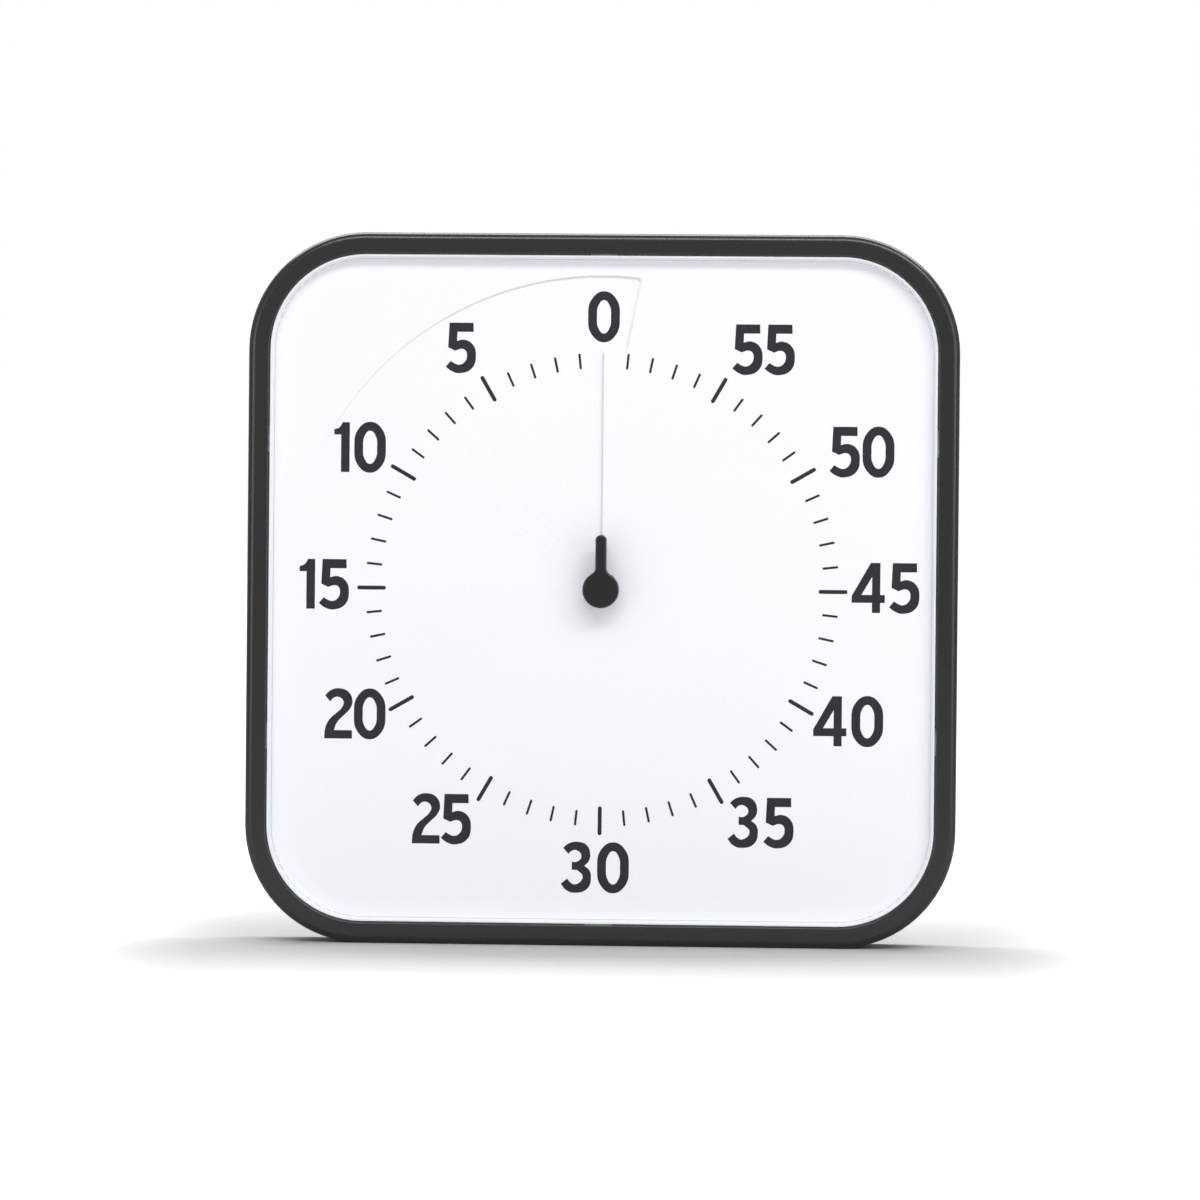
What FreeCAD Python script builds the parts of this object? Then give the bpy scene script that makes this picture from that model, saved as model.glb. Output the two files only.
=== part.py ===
import FreeCAD, Part
import Sketcher
import math
import os

# Visual countdown timer, 12 inch class, in millimetres.
# X runs to the right, Z up, and the dial looks along -Y. The origin is the middle of
# the flat bottom of the case. A red sheet wound like one turn of a screw thread waits
# behind the dial and comes out through the slit at 0 as the knob is turned.

doc = FreeCAD.newDocument("visual_timer")
V = FreeCAD.Vector

SIZES = [
    ("case_width", 304.8, "square case, side to side and floor to top"),
    ("case_depth", 38.0, "front of the bezel to the back cover"),
    ("corner_radius", 50.4, "outer corners of the case seen from the front"),
    ("band_width", 9.1, "bezel band round the dial"),
    ("opening_radius", 41.3, "corners of the bezel opening"),
    ("shell_wall", 2.2, "moulded wall of frame and back cover"),
    ("frame_depth", 20.0, "front frame, front to parting line"),
    ("lip_thickness", 3.2, "bezel band, front to back"),
    ("front_round", 3.0, "round on the outer front edge"),
    ("opening_round", 0.9, "round on the edge of the opening"),
    ("rear_round", 6.0, "round on the outer rear edge"),
    ("seam_round", 0.4, "outer edges where frame and back cover meet"),
    ("post_radius", 3.4, "screw posts of the case"),
    ("post_inset", 5.4, "screw posts in from the sides of the case"),
    ("post_spread_top", 75.0, "top screw posts from the middle"),
    ("post_spread_bottom", 20.0, "bottom screw posts from the middle"),
    ("dial_drop", 6.5, "dial face behind the bezel front"),
    ("dial_thickness", 2.0, "floor of the dial tray"),
    ("tray_gap", 0.3, "dial tray inside the bezel opening"),
    ("tray_set_back", 1.2, "rim of the tray behind the bezel front"),
    ("rim_thickness", 0.7, "top edge of the tray rim"),
    ("rim_slope", 1.8, "how far the rim leans in on its way to the floor"),
    ("tab_length", 12.0, "snap tabs of the tray"),
    ("tab_offset", 63.7, "side tabs above and below the middle"),
    ("tab_notch", 0.4, "notch in the bezel edge at each tab"),
    ("tab_reach", 1.2, "how far a tab hooks behind the bezel"),
    ("tab_thickness", 1.8, "hook of a tab, front to back"),
    ("tab_clearance", 0.15, "hook behind the bezel band"),
    ("slit_edge", 0.6, "dial thickness at the right side of the slit"),
    ("sheet_thickness", 0.3, "red time sheet"),
    ("sheet_clearance", 0.2, "red sheet in front of and behind the dial"),
    ("ramp_angle", 90.0, "turn over which the dial ramp runs out"),
    ("ramp_radius", 134.8, "outer edge of the dial ramp"),
    ("ramp_corner", 2.0, "corners of the ramp's side wall"),
    ("ramp_side_top", 16.3, "side wall of the ramp at its outer end"),
    ("ramp_side_bottom", 9.9, "side wall of the ramp at its inner end"),
    ("slit_radius", 102.1, "outer end of the slit"),
    ("sheet_radius", 92.0, "outer edge of the red sheet"),
    ("sheet_angle", 362.0, "how far the red sheet is wound"),
    ("hidden_angle", 2.0, "front edge of the sheet behind the slit at rest"),
    ("dial_hole_radius", 6.6, "hole in the middle of the dial"),
    ("hub_radius", 6.0, "collar that carries the red sheet"),
    ("hub_margin", 0.5, "collar beyond the sheet at each end"),
    ("arbor_radius", 3.0, "centre shaft"),
    ("arbor_flat", 2.3, "flats of the shaft from its axis"),
    ("arbor_flange", 4.6, "flange of the shaft behind the bush"),
    ("arbor_seat", 2.5, "shaft inside the centre wheel"),
    ("arbor_pivot", 1.0, "rear pivot of the shaft"),
    ("clutch_radius", 4.4, "slip clutch spring and ring"),
    ("clutch_height", 0.6, "clutch spring, front to back, and the flange before it"),
    ("clutch_ring_height", 0.8, "ring that holds the centre wheel"),
    ("spring_stock", 0.15, "clutch spring's sheet steel"),
    ("running_fit", 0.05, "radial clearance of turning and sliding fits"),
    ("running_gap", 0.6, "end clearance of turning pieces"),
    ("knob_radius", 7.8, "round part of the knob"),
    ("knob_reach", 23.5, "axis to the tip of the pointer"),
    ("pointer_width", 4.7, "arm of the pointer"),
    ("knob_height", 6.0, "knob, front to back"),
    ("knob_round", 0.8, "front edges of the knob"),
    ("neck_round", 3.0, "hollow where the pointer leaves the round part"),
    ("shaft_in_knob", 4.4, "shaft inside the knob"),
    ("movement_width", 56.0, "movement case"),
    ("movement_depth", 14.0, "movement case, front to back"),
    ("movement_wall", 1.4, "movement case wall"),
    ("ear_reach", 33.0, "fixing ears of the movement from its axis"),
    ("ear_height", 18.0, "fixing ears above and below the axis"),
    ("ear_radius", 4.5, "fixing ears"),
    ("ear_thickness", 1.6, "fixing ears, front to back"),
    ("movement_post_radius", 3.5, "posts that carry the movement"),
    ("bush_radius", 4.5, "brass bush in the movement"),
    ("bush_flange", 6.5, "flange of the bush"),
    ("bush_length", 4.0, "bush inside the movement"),
    ("gear_module", 0.4, "teeth of the centre and third wheels"),
    ("fine_module", 0.3, "teeth of the fourth wheel and rotor"),
    ("wheel_thickness", 0.9, "toothed wheels"),
    ("pinion_overhang", 0.4, "pinions beyond the wheels they meet"),
    ("pivot_radius", 0.5, "pivots of the small wheels"),
    ("pivot_length", 0.8, "pivots of the small wheels"),
    ("staff_radius", 0.9, "staffs of the third and fourth wheels"),
    ("rotor_staff", 0.7, "staff of the rotor"),
    ("end_play", 0.2, "staffs between their bearings"),
    ("bearing_radius", 1.5, "bosses that the pivots turn in"),
    ("bearing_height", 1.0, "bosses that the pivots turn in"),
    ("magnet_radius", 3.0, "magnet of the rotor"),
    ("magnet_gap", 0.6, "magnet to the stator round it"),
    ("stator_inset", 1.0, "stator and circuit board inside the movement's walls"),
    ("stator_low", 12.6, "lower edge of the stator above the axis"),
    ("stator_leg", 2.8, "legs of the stator"),
    ("stator_bar_low", 20.4, "lower edge of the bar inside the coil"),
    ("stator_bar_high", 24.8, "upper edge of the bar inside the coil"),
    ("stator_lift", 2.4, "stator behind the movement's floor"),
    ("stator_stock", 0.8, "stator's sheet steel"),
    ("pole_reach", 5.2, "rotor's axis to the ends of the pole"),
    ("stator_foot", 1.2, "feet of the stator"),
    ("coil_layers", 1.2, "winding round the bar"),
    ("coil_margin", 1.0, "winding to the stator's legs"),
    ("board_left", 4.0, "left edge of the circuit board"),
    ("board_drop", 9.0, "upper edge of the circuit board below the axis"),
    ("board_lift", 0.3, "circuit board behind the movement's floor"),
    ("board_thickness", 1.0, "circuit board"),
    ("can_radius", 1.0, "quartz crystal's can"),
    ("can_length", 6.0, "quartz crystal's can"),
    ("chip_width", 6.0, "driver chip"),
    ("chip_height", 1.2, "driver chip"),
    ("cell_radius", 7.1, "AA cell"),
    ("cell_length", 49.2, "AA cell without its button"),
    ("cell_button", 1.3, "button of the cell"),
    ("bay_length", 58.0, "battery bay"),
    ("bay_height", 16.4, "battery bay, bottom to top"),
    ("bay_drop", 58.0, "battery bay below the axis"),
    ("bay_wall", 1.5, "walls of the battery bay"),
    ("bay_flange", 4.0, "thick wall round the battery bay"),
    ("cell_slack", 0.8, "room round the cell, front to back"),
    ("leaf_stock", 0.4, "battery contacts' sheet steel"),
    ("leaf_bump_width", 3.2, "bump of a contact, front to back"),
    ("leaf_bump_height", 5.2, "bump of a contact, bottom to top"),
    ("door_length", 66.0, "battery door"),
    ("door_height", 24.0, "battery door, bottom to top"),
    ("door_thickness", 2.0, "battery door"),
    ("door_gap", 0.3, "battery door in its recess"),
    ("door_round", 2.5, "corners of the battery door"),
    ("grip_width", 14.0, "finger hollow of the door"),
    ("grip_height", 4.0, "finger hollow of the door"),
    ("grip_inset", 2.6, "finger hollow above the door's lower edge"),
    ("rib_spread", 15.0, "ribs inside the door from its middle"),
    ("rib_width", 1.6, "ribs inside the door"),
    ("rib_top", 4.0, "ribs below the top of the bay"),
    ("foot_pivot", 92.0, "foot pins from the middle"),
    ("foot_inset", 7.5, "foot pins in front of the back cover's face"),
    ("foot_length", 46.0, "foot from its pin to its end"),
    ("foot_radius", 6.0, "foot round its pin"),
    ("foot_tip", 4.6, "round end of the foot"),
    ("foot_height", 7.0, "foot, bottom to top"),
    ("foot_gap", 0.5, "foot above the floor and under its pocket"),
    ("foot_swing", 1.0, "foot clear of the ends of its pocket"),
    ("pin_radius", 2.0, "foot pin"),
    ("pin_head_radius", 3.6, "head of the foot pin"),
    ("pin_head_height", 1.6, "head of the foot pin"),
    ("pad_radius", 3.4, "rubber pad under the foot"),
    ("pad_height", 1.8, "rubber pad under the foot"),
    ("screw_radius", 1.3, "screw shanks"),
    ("screw_head_radius", 2.6, "screw heads"),
    ("screw_head_height", 1.8, "screw heads"),
    ("case_screw_grip", 8.0, "screw shank in each half of the case"),
    ("cross_width", 0.7, "cross recess of the screws"),
    ("cross_length", 2.8, "cross recess of the screws"),
    ("cross_depth", 0.9, "cross recess of the screws"),
    ("hanger_height", 118.0, "hanger slot above the axis"),
    ("hanger_radius", 4.6, "head hole of the hanger slot"),
    ("hanger_slot", 2.3, "half width of the hanger slot"),
    ("hanger_travel", 9.0, "hanger slot above its head hole"),
    ("switch_side", 60.0, "sound switch to the side of the axis"),
    ("switch_height", 86.0, "sound switch above the axis"),
    ("switch_travel", 3.0, "travel of the sound switch"),
    ("switch_button", 4.0, "button of the sound switch"),
    ("switch_proud", 1.2, "button beyond the back cover"),
    ("switch_plate", 8.0, "plate of the slider, bottom to top"),
    ("switch_plate_length", 12.0, "plate of the slider, side to side"),
    ("switch_plate_stock", 1.4, "plate of the slider"),
    ("switch_tongue", 2.4, "tongue that works the contacts"),
    ("switch_rail_reach", 8.0, "rails beyond the slider's middle"),
    ("switch_rail_depth", 6.0, "rails on the back cover"),
    ("switch_block_depth", 3.0, "contact block"),
    ("sounder_radius", 11.5, "piezo sounder"),
    ("sounder_thickness", 3.4, "piezo sounder"),
    ("sounder_face", 0.8, "front wall of the sounder"),
    ("sound_slot", 1.2, "width of a sound slot"),
    ("sound_pitch", 3.0, "sound slot to the next"),
    ("sound_length", 13.0, "longest sound slot"),
]

sheet = doc.addObject("Spreadsheet::Sheet", "Sizes")
for row, (word, number, meaning) in enumerate(SIZES, start=1):
    sheet.set("A%d" % row, word)
    sheet.set("B%d" % row, str(number))
    sheet.setAlias("B%d" % row, word)
    sheet.set("C%d" % row, meaning)
doc.recompute()


class Size:
    """A length that knows its number and how the sheet works it out."""

    def __init__(self, value, text):
        self.value = float(value)
        self.text = text

    def __add__(self, other):
        other = as_size(other)
        return Size(self.value + other.value, "(%s + %s)" % (self.text, other.text))

    def __sub__(self, other):
        other = as_size(other)
        return Size(self.value - other.value, "(%s - %s)" % (self.text, other.text))

    def __mul__(self, other):
        other = as_size(other)
        return Size(self.value * other.value, "(%s * %s)" % (self.text, other.text))

    def __truediv__(self, other):
        other = as_size(other)
        return Size(self.value / other.value, "(%s / %s)" % (self.text, other.text))

    def __neg__(self):
        return Size(-self.value, "(0 - %s)" % self.text)


def as_size(thing):
    if isinstance(thing, Size):
        return thing
    return Size(thing, "%.6f" % thing)


class Sheet:
    """The sizes by name: s.case_width is the cell with that alias."""


s = Sheet()
for word, number, meaning in SIZES:
    setattr(s, word, Size(sheet.get(word), "Sizes." + word))

ZERO = as_size(0)

# Planes and axes that several pieces share
front_y = -s.case_depth / 2
rear_y = s.case_depth / 2
parting_y = front_y + s.frame_depth
inner_rear_y = rear_y - s.shell_wall
axis_z = s.case_width / 2
opening_width = s.case_width - s.band_width * 2
post_reach = axis_z - s.post_inset
dial_y = front_y + s.dial_drop
dial_back_y = dial_y + s.dial_thickness

# The ramp is as deep as the slit edge, the sheet and a clearance on each side of it,
# and the sheet climbs at the ramp's own slope all the way round.
ramp_depth = s.slit_edge + s.sheet_thickness + s.sheet_clearance * 2
sheet_pitch = ramp_depth * 360 / s.ramp_angle
sheet_front = s.slit_edge + s.sheet_clearance
hub_front_y = dial_y + sheet_front - s.hub_margin
hub_rear_y = dial_y + sheet_front + s.sheet_thickness + sheet_pitch + s.hub_margin
movement_y = hub_rear_y + s.running_gap
movement_rear_y = movement_y + s.movement_depth
knob_back_y = hub_front_y - sheet_pitch - s.running_gap


def bind(thing, prop, size):
    thing.setExpression(prop, size.text)


def place(thing, x, y, z, rotation=FreeCAD.Rotation()):
    """Puts a piece at named sizes and binds each of them."""
    thing.Placement = FreeCAD.Placement(V(x.value, y.value, z.value), rotation)
    for letter, size in zip("xyz", (x, y, z)):
        if size.text != ZERO.text:
            bind(thing, "Placement.Base." + letter, size)


def new_body(label, x=ZERO, y=ZERO, z=ZERO):
    body = doc.addObject("PartDesign::Body", label)
    body.Label = label
    place(body, x, y, z)
    return body


def new_sketch(body, name, plane="XZ_Plane", out=None):
    """A sketch on one of the body's planes, moved out along the plane's normal."""
    sketch = body.newObject("Sketcher::SketchObject", name)
    support = [plane_of for plane_of in body.Origin.OriginFeatures if plane_of.Role == plane]
    sketch.AttachmentSupport = (support[0], [""])
    sketch.MapMode = "FlatFace"
    if out is not None:
        bind(sketch, "AttachmentOffset.Base.z", out)
    return sketch


def constrain(sketch, *parts, size):
    index = sketch.addConstraint(Sketcher.Constraint(*parts, size.value))
    bind(sketch, "Constraints[%d]" % index, size)


def pin_point(sketch, geometry, point, x, y):
    constrain(sketch, "DistanceX", -1, 1, geometry, point, size=x)
    constrain(sketch, "DistanceY", -1, 1, geometry, point, size=y)


def draw_polygon(sketch, points):
    points = [(as_size(x), as_size(y)) for x, y in points]
    count = len(points)
    lines = []
    for (x, y), (next_x, next_y) in zip(points, points[1:] + points[:1]):
        line = Part.LineSegment(V(x.value, y.value, 0), V(next_x.value, next_y.value, 0))
        lines.append(sketch.addGeometry(line, False))
    for index, line in enumerate(lines):
        sketch.addConstraint(Sketcher.Constraint("Coincident", line, 2, lines[(index + 1) % count], 1))
    for line, (x, y) in zip(lines, points):
        pin_point(sketch, line, 1, x, y)


def draw_rectangle(sketch, left, bottom, right, top):
    draw_polygon(sketch, [(left, bottom), (right, bottom), (right, top), (left, top)])


def draw_circle(sketch, x, y, radius):
    x = as_size(x)
    y = as_size(y)
    circle = sketch.addGeometry(Part.Circle(V(x.value, y.value, 0), V(0, 0, 1), radius.value), False)
    pin_point(sketch, circle, 3, x, y)
    constrain(sketch, "Radius", circle, size=radius)


def draw_rounded_rectangle(sketch, width, height, radius, middle_y=ZERO):
    """Four tangent arcs and lines round a middle at x = 0."""
    reach_x = width / 2 - radius
    reach_y = height / 2 - radius
    signs = [(1, 1), (-1, 1), (-1, -1), (1, -1)]
    spots = [(reach_x * a, middle_y + reach_y * b) for a, b in signs]
    arcs = []
    lines = []
    for index, (x, y) in enumerate(spots):
        start = math.radians(90 * index)
        circle = Part.Circle(V(x.value, y.value, 0), V(0, 0, 1), radius.value)
        arc = Part.ArcOfCircle(circle, start, start + math.pi / 2)
        arcs.append(sketch.addGeometry(arc, False))
    for index, (x, y) in enumerate(spots):
        turn = math.radians(90 * index + 90)
        lift = V(radius.value * math.cos(turn), radius.value * math.sin(turn), 0)
        next_x, next_y = spots[(index + 1) % 4]
        line = Part.LineSegment(V(x.value, y.value, 0) + lift, V(next_x.value, next_y.value, 0) + lift)
        lines.append(sketch.addGeometry(line, False))
    for index in range(4):
        sketch.addConstraint(Sketcher.Constraint("Tangent", arcs[index], 2, lines[index], 1))
        sketch.addConstraint(Sketcher.Constraint("Tangent", lines[index], 2, arcs[(index + 1) % 4], 1))
        way = "Horizontal" if index % 2 == 0 else "Vertical"
        sketch.addConstraint(Sketcher.Constraint(way, lines[index]))
    for arc in arcs[1:]:
        sketch.addConstraint(Sketcher.Constraint("Equal", arcs[0], arc))
    constrain(sketch, "Radius", arcs[0], size=radius)
    for corner in (0, 2):
        pin_point(sketch, arcs[corner], 3, *spots[corner])


def pad(body, sketch, length, backward=False):
    feature = body.newObject("PartDesign::Pad", "Pad")
    feature.Profile = sketch
    bind(feature, "Length", length)
    feature.Reversed = backward
    body.Tip = feature
    doc.recompute()
    return feature


def pocket(body, sketch, length=None, forward=False):
    """A cut against the sketch's normal, or along it with forward; checked to remove material."""
    before = body.Shape.Volume
    feature = body.newObject("PartDesign::Pocket", "Pocket")
    feature.Profile = sketch
    if length is None:
        feature.Type = 1
    else:
        bind(feature, "Length", length)
    feature.Reversed = forward
    body.Tip = feature
    doc.recompute()
    if not feature.Shape.Volume < before - 1e-6:
        raise ValueError("%s: %s removes nothing" % (body.Label, sketch.Label))
    return feature


def edges_where(feature, test):
    return ["Edge%d" % number for number, edge in enumerate(feature.Shape.Edges, start=1) if test(edge)]


def round_edges(body, test, radius):
    base = body.Tip
    feature = body.newObject("PartDesign::Fillet", "Fillet")
    feature.Base = (base, edges_where(base, test))
    bind(feature, "Radius", radius)
    body.Tip = feature
    doc.recompute()
    return feature


def in_plane(edge, axis, place_value):
    """True for an edge that lies in the plane axis = place_value of its body."""
    box = edge.BoundBox
    low = getattr(box, axis + "Min")
    high = getattr(box, axis + "Max")
    return abs(low - place_value) < 1e-4 and abs(high - place_value) < 1e-4


def turned(label, points, x=ZERO, y=ZERO, z=axis_z):
    """A piece turned round its own Y axis from (radius, place along Y) points."""
    body = new_body(label, x, y, z)
    sketch = new_sketch(body, "Profile", "XY_Plane")
    draw_polygon(sketch, points)
    feature = body.newObject("PartDesign::Revolution", "Revolution")
    feature.Profile = sketch
    feature.ReferenceAxis = (sketch, ["V_Axis"])
    feature.Angle = 360
    body.Tip = feature
    return body


def block(name, low, high):
    """A box between two corners given as named sizes."""
    low = [as_size(size) for size in low]
    high = [as_size(size) for size in high]
    box = doc.addObject("Part::Box", name)
    for prop, start, end in zip(("Length", "Width", "Height"), low, high):
        bind(box, prop, end - start)
    place(box, *low)
    return box


ALONG_Y = FreeCAD.Rotation(V(1, 0, 0), -90)


def rod(name, radius, x, z, front, back):
    """A round bar along Y."""
    bar = doc.addObject("Part::Cylinder", name)
    bind(bar, "Radius", radius)
    bind(bar, "Height", back - front)
    place(bar, as_size(x), front, as_size(z), ALONG_Y)
    return bar


def fuse(name, shapes):
    joined = doc.addObject("Part::MultiFuse", name)
    joined.Shapes = shapes
    joined.Label = name
    return joined


def cut(name, base, tools):
    result = doc.addObject("Part::Cut", name)
    result.Base = base
    result.Tool = tools[0] if len(tools) == 1 else fuse(name + "_tools", tools)
    result.Label = name
    return result


TO_FRONT = FreeCAD.Rotation(V(1, 0, 0), 90)


def solid_piece(label, shape, x=ZERO, y=ZERO, z=ZERO, rotation=FreeCAD.Rotation()):
    """A shape made with Part; TO_FRONT turns one drawn with +Z towards the viewer."""
    piece = doc.addObject("Part::Feature", label)
    piece.Label = label
    piece.Shape = shape
    place(piece, x, y, z, rotation)
    return piece


# The case screws: two at the top, two at the bottom and one at each side
post_spots = [
    (s.post_spread_top, post_reach),
    (-s.post_spread_top, post_reach),
    (s.post_spread_bottom, -post_reach),
    (-s.post_spread_bottom, -post_reach),
    (post_reach, ZERO),
    (-post_reach, ZERO),
]

# The snap tabs of the dial: top, bottom, and two at each side. Each is the middle of
# the tab along its edge and the side that it is on.
tab_spots = [
    ("top", ZERO),
    ("bottom", ZERO),
    ("right", s.tab_offset),
    ("right", -s.tab_offset),
    ("left", s.tab_offset),
    ("left", -s.tab_offset),
]


def draw_tabs(sketch, inner, outer, length):
    """One rectangle for each snap tab, between two distances from the middle."""
    half = length / 2
    for side, along in tab_spots:
        if side == "top":
            draw_rectangle(sketch, along - half, inner, along + half, outer)
        elif side == "bottom":
            draw_rectangle(sketch, along - half, -outer, along + half, -inner)
        elif side == "right":
            draw_rectangle(sketch, inner, along - half, outer, along + half)
        else:
            draw_rectangle(sketch, -outer, along - half, -inner, along + half)


def make_front_frame():
    body = new_body("front_frame", ZERO, front_y, axis_z)
    outline = new_sketch(body, "Outline")
    draw_rounded_rectangle(outline, s.case_width, s.case_width, s.corner_radius)
    pad(body, outline, s.frame_depth, backward=True)
    round_edges(body, lambda edge: in_plane(edge, "Y", s.frame_depth.value), s.seam_round)
    opening = new_sketch(body, "Opening")
    draw_rounded_rectangle(opening, opening_width, opening_width, s.opening_radius)
    pocket(body, opening)

    # the outer edge is fully rounded, the edge of the opening only broken
    half = s.case_width.value / 2
    rim = half - s.corner_radius.value * (1 - math.sqrt(0.5)) - 1

    def outer_edge(edge):
        middle = edge.valueAt((edge.FirstParameter + edge.LastParameter) / 2)
        return in_plane(edge, "Y", 0) and (max(abs(middle.x), abs(middle.z)) > half - 1
                                           or min(abs(middle.x), abs(middle.z)) > rim)

    def opening_edge(edge):
        return in_plane(edge, "Y", 0) and not outer_edge(edge) and edge.BoundBox.DiagonalLength < half * 2

    round_edges(body, outer_edge, s.front_round)
    round_edges(body, opening_edge, s.opening_round)

    cavity = new_sketch(body, "Cavity", out=-s.lip_thickness)
    inner_width = s.case_width - s.shell_wall * 2
    draw_rounded_rectangle(cavity, inner_width, inner_width, s.corner_radius - s.shell_wall)
    pocket(body, cavity)

    posts = new_sketch(body, "Posts", out=-s.lip_thickness)
    for x, y in post_spots:
        draw_circle(posts, x, y, s.post_radius)
    pad(body, posts, s.frame_depth - s.lip_thickness, backward=True)
    pilots = new_sketch(body, "Pilots", out=-s.frame_depth)
    for x, y in post_spots:
        draw_circle(pilots, x, y, s.screw_radius)
    pocket(body, pilots, s.case_screw_grip + 1, forward=True)

    notches = new_sketch(body, "Notches")
    draw_tabs(notches, opening_width / 2 - 1, opening_width / 2 + s.tab_notch, s.tab_length)
    pocket(body, notches)
    return body


def helical_plate(inner, outer, first, last, base, thickness, step=5.0):
    """A plate wound round +Z at the sheet's pitch, in flat facets that stay light.

    Angles run counter-clockwise from 12 o'clock, and base is the height of its lower
    side at angle 0.
    """
    def row(angle):
        x = -math.sin(math.radians(angle))
        y = math.cos(math.radians(angle))
        low = base + sheet_pitch.value * angle / 360
        high = low + thickness
        return [V(inner * x, inner * y, low), V(outer * x, outer * y, low),
                V(outer * x, outer * y, high), V(inner * x, inner * y, high)]

    def facet(*corners):
        return Part.Face(Part.makePolygon(list(corners) + [corners[0]]))

    count = max(2, math.ceil((last - first) / step))
    rows = [row(first + (last - first) * index / count) for index in range(count + 1)]
    faces = [facet(*rows[0]), facet(*rows[-1])]
    for here, there in zip(rows, rows[1:]):
        faces.append(facet(here[1], there[1], there[2], here[2]))
        faces.append(facet(here[0], there[0], there[3], here[3]))
        for near, far in ((0, 1), (3, 2)):
            faces.append(facet(here[near], here[far], there[far]))
            faces.append(facet(here[near], there[far], there[near]))
    return Part.makeSolid(Part.makeShell(faces))


def ramp_outline():
    """The ramp seen from the front: the slit, the short side wall and the outer arc."""
    radius = s.ramp_radius.value
    top_x = s.ramp_side_top.value
    low_x = s.ramp_side_bottom.value
    low_y = s.slit_radius.value
    top = V(top_x, math.sqrt(radius ** 2 - top_x ** 2), 0)
    end_turn = math.radians(s.ramp_angle.value)
    end = V(-radius * math.sin(end_turn), radius * math.cos(end_turn), 0)
    half_turn = end_turn / 2
    middle = V(-radius * math.sin(half_turn), radius * math.cos(half_turn), 0)
    corners = [V(0, 0, 0), V(0, low_y, 0), V(low_x, low_y, 0), top]
    edges = [Part.LineSegment(a, b).toShape() for a, b in zip(corners, corners[1:])]
    edges.append(Part.Arc(top, middle, end).toShape())
    edges.append(Part.LineSegment(end, corners[0]).toShape())
    prism = Part.Face(Part.Wire(edges)).extrude(V(0, 0, radius))
    prism.translate(V(0, 0, -radius / 2))

    def side_wall_corner(edge):
        middle_of = edge.CenterOfMass
        upright = edge.BoundBox.XLength < 1e-6 and edge.BoundBox.YLength < 1e-6
        return upright and middle_of.x > low_x - 1

    return prism.makeFillet(s.ramp_corner.value, [e for e in prism.Edges if side_wall_corner(e)])


def make_dial():
    """The white tray: a sloping rim, six snap tabs, and a floor with the two ramps.

    The front ramp goes down to the left side of the slit, and the back ramp thins the
    floor on its right, so that the wound sheet passes through the slit without bending.
    """
    body = new_body("dial_tray", ZERO, dial_y, axis_z)
    outer_width = opening_width - s.tray_gap * 2
    outer_radius = s.opening_radius - s.tray_gap
    rim_height = s.dial_drop - s.tray_set_back
    outline = new_sketch(body, "Outline", out=-s.dial_thickness)
    draw_rounded_rectangle(outline, outer_width, outer_width, outer_radius)
    pad(body, outline, s.dial_thickness + rim_height)

    top = new_sketch(body, "RimTop", out=rim_height)
    top_width = outer_width - s.rim_thickness * 2
    draw_rounded_rectangle(top, top_width, top_width, outer_radius - s.rim_thickness)
    floor = new_sketch(body, "RimFoot")
    lean = s.rim_thickness + s.rim_slope
    floor_width = outer_width - lean * 2
    draw_rounded_rectangle(floor, floor_width, floor_width, outer_radius - lean)
    hollow = body.newObject("PartDesign::SubtractiveLoft", "Hollow")
    hollow.Profile = top
    hollow.Sections = [floor]
    hollow.Ruled = True
    body.Tip = hollow
    doc.recompute()

    # hooks reach behind the bezel band, and fill the notches in its edge
    hook_front = s.dial_drop - s.lip_thickness - s.tab_clearance
    hooks = new_sketch(body, "Hooks", out=hook_front - s.tab_thickness)
    slack = s.tab_notch / 2
    draw_tabs(hooks, outer_width / 2 - s.rim_thickness / 2, opening_width / 2 + s.tab_reach,
              s.tab_length - slack)
    pad(body, hooks, s.tab_thickness)
    hole = new_sketch(body, "CentreHole", out=rim_height)
    draw_circle(hole, 0, 0, s.dial_hole_radius)
    pocket(body, hole)

    edge = s.slit_edge.value
    depth = ramp_depth.value
    pitch = sheet_pitch.value
    side_turn = math.degrees(math.asin(s.ramp_side_top.value / s.ramp_radius.value)) + 3
    front_tool = helical_plate(1.0, s.ramp_radius.value * 1.1, -side_turn, s.ramp_angle.value,
                               -depth, depth + 2)
    front_ramp = solid_piece("front_ramp", ramp_outline().common(front_tool),
                             ZERO, dial_y, axis_z, TO_FRONT)
    thinning = s.dial_thickness.value - edge
    back_tool = helical_plate(1.0, s.slit_radius.value, -360 * thinning / pitch, 0.0,
                              -edge - thinning - 2, thinning + 2)
    back_ramp = solid_piece("back_ramp", back_tool, ZERO, dial_y, axis_z, TO_FRONT)
    return cut("dial_plate", body, [front_ramp, back_ramp])


def make_time_disk():
    """The red sheet: one turn of a screw surface, as steep as the dial's ramp."""
    low = -(sheet_front.value + s.sheet_thickness.value)
    plate = helical_plate(s.hub_radius.value, s.sheet_radius.value,
                          -s.sheet_angle.value - s.hidden_angle.value, -s.hidden_angle.value,
                          low, s.sheet_thickness.value)
    return solid_piece("time_disk", plate, ZERO, dial_y, axis_z, TO_FRONT)


def make_disk_hub():
    """The collar slides on the flats of the shaft as it carries the sheet forwards."""
    collar = rod("collar", s.hub_radius, 0, axis_z, hub_front_y, hub_rear_y)
    bore = rod("collar_bore", s.arbor_radius + s.running_fit, 0, axis_z, hub_front_y - 1, hub_rear_y + 1)
    across = s.arbor_flat + s.running_fit
    tall = s.arbor_radius * 2
    flats = block("collar_flats", (-across, hub_front_y - 2, axis_z - tall),
                  (across, hub_rear_y + 2, axis_z + tall))
    shaft_hole = doc.addObject("Part::Common", "shaft_hole")
    shaft_hole.Base = bore
    shaft_hole.Tool = flats
    return cut("disk_hub", collar, [shaft_hole])


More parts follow.
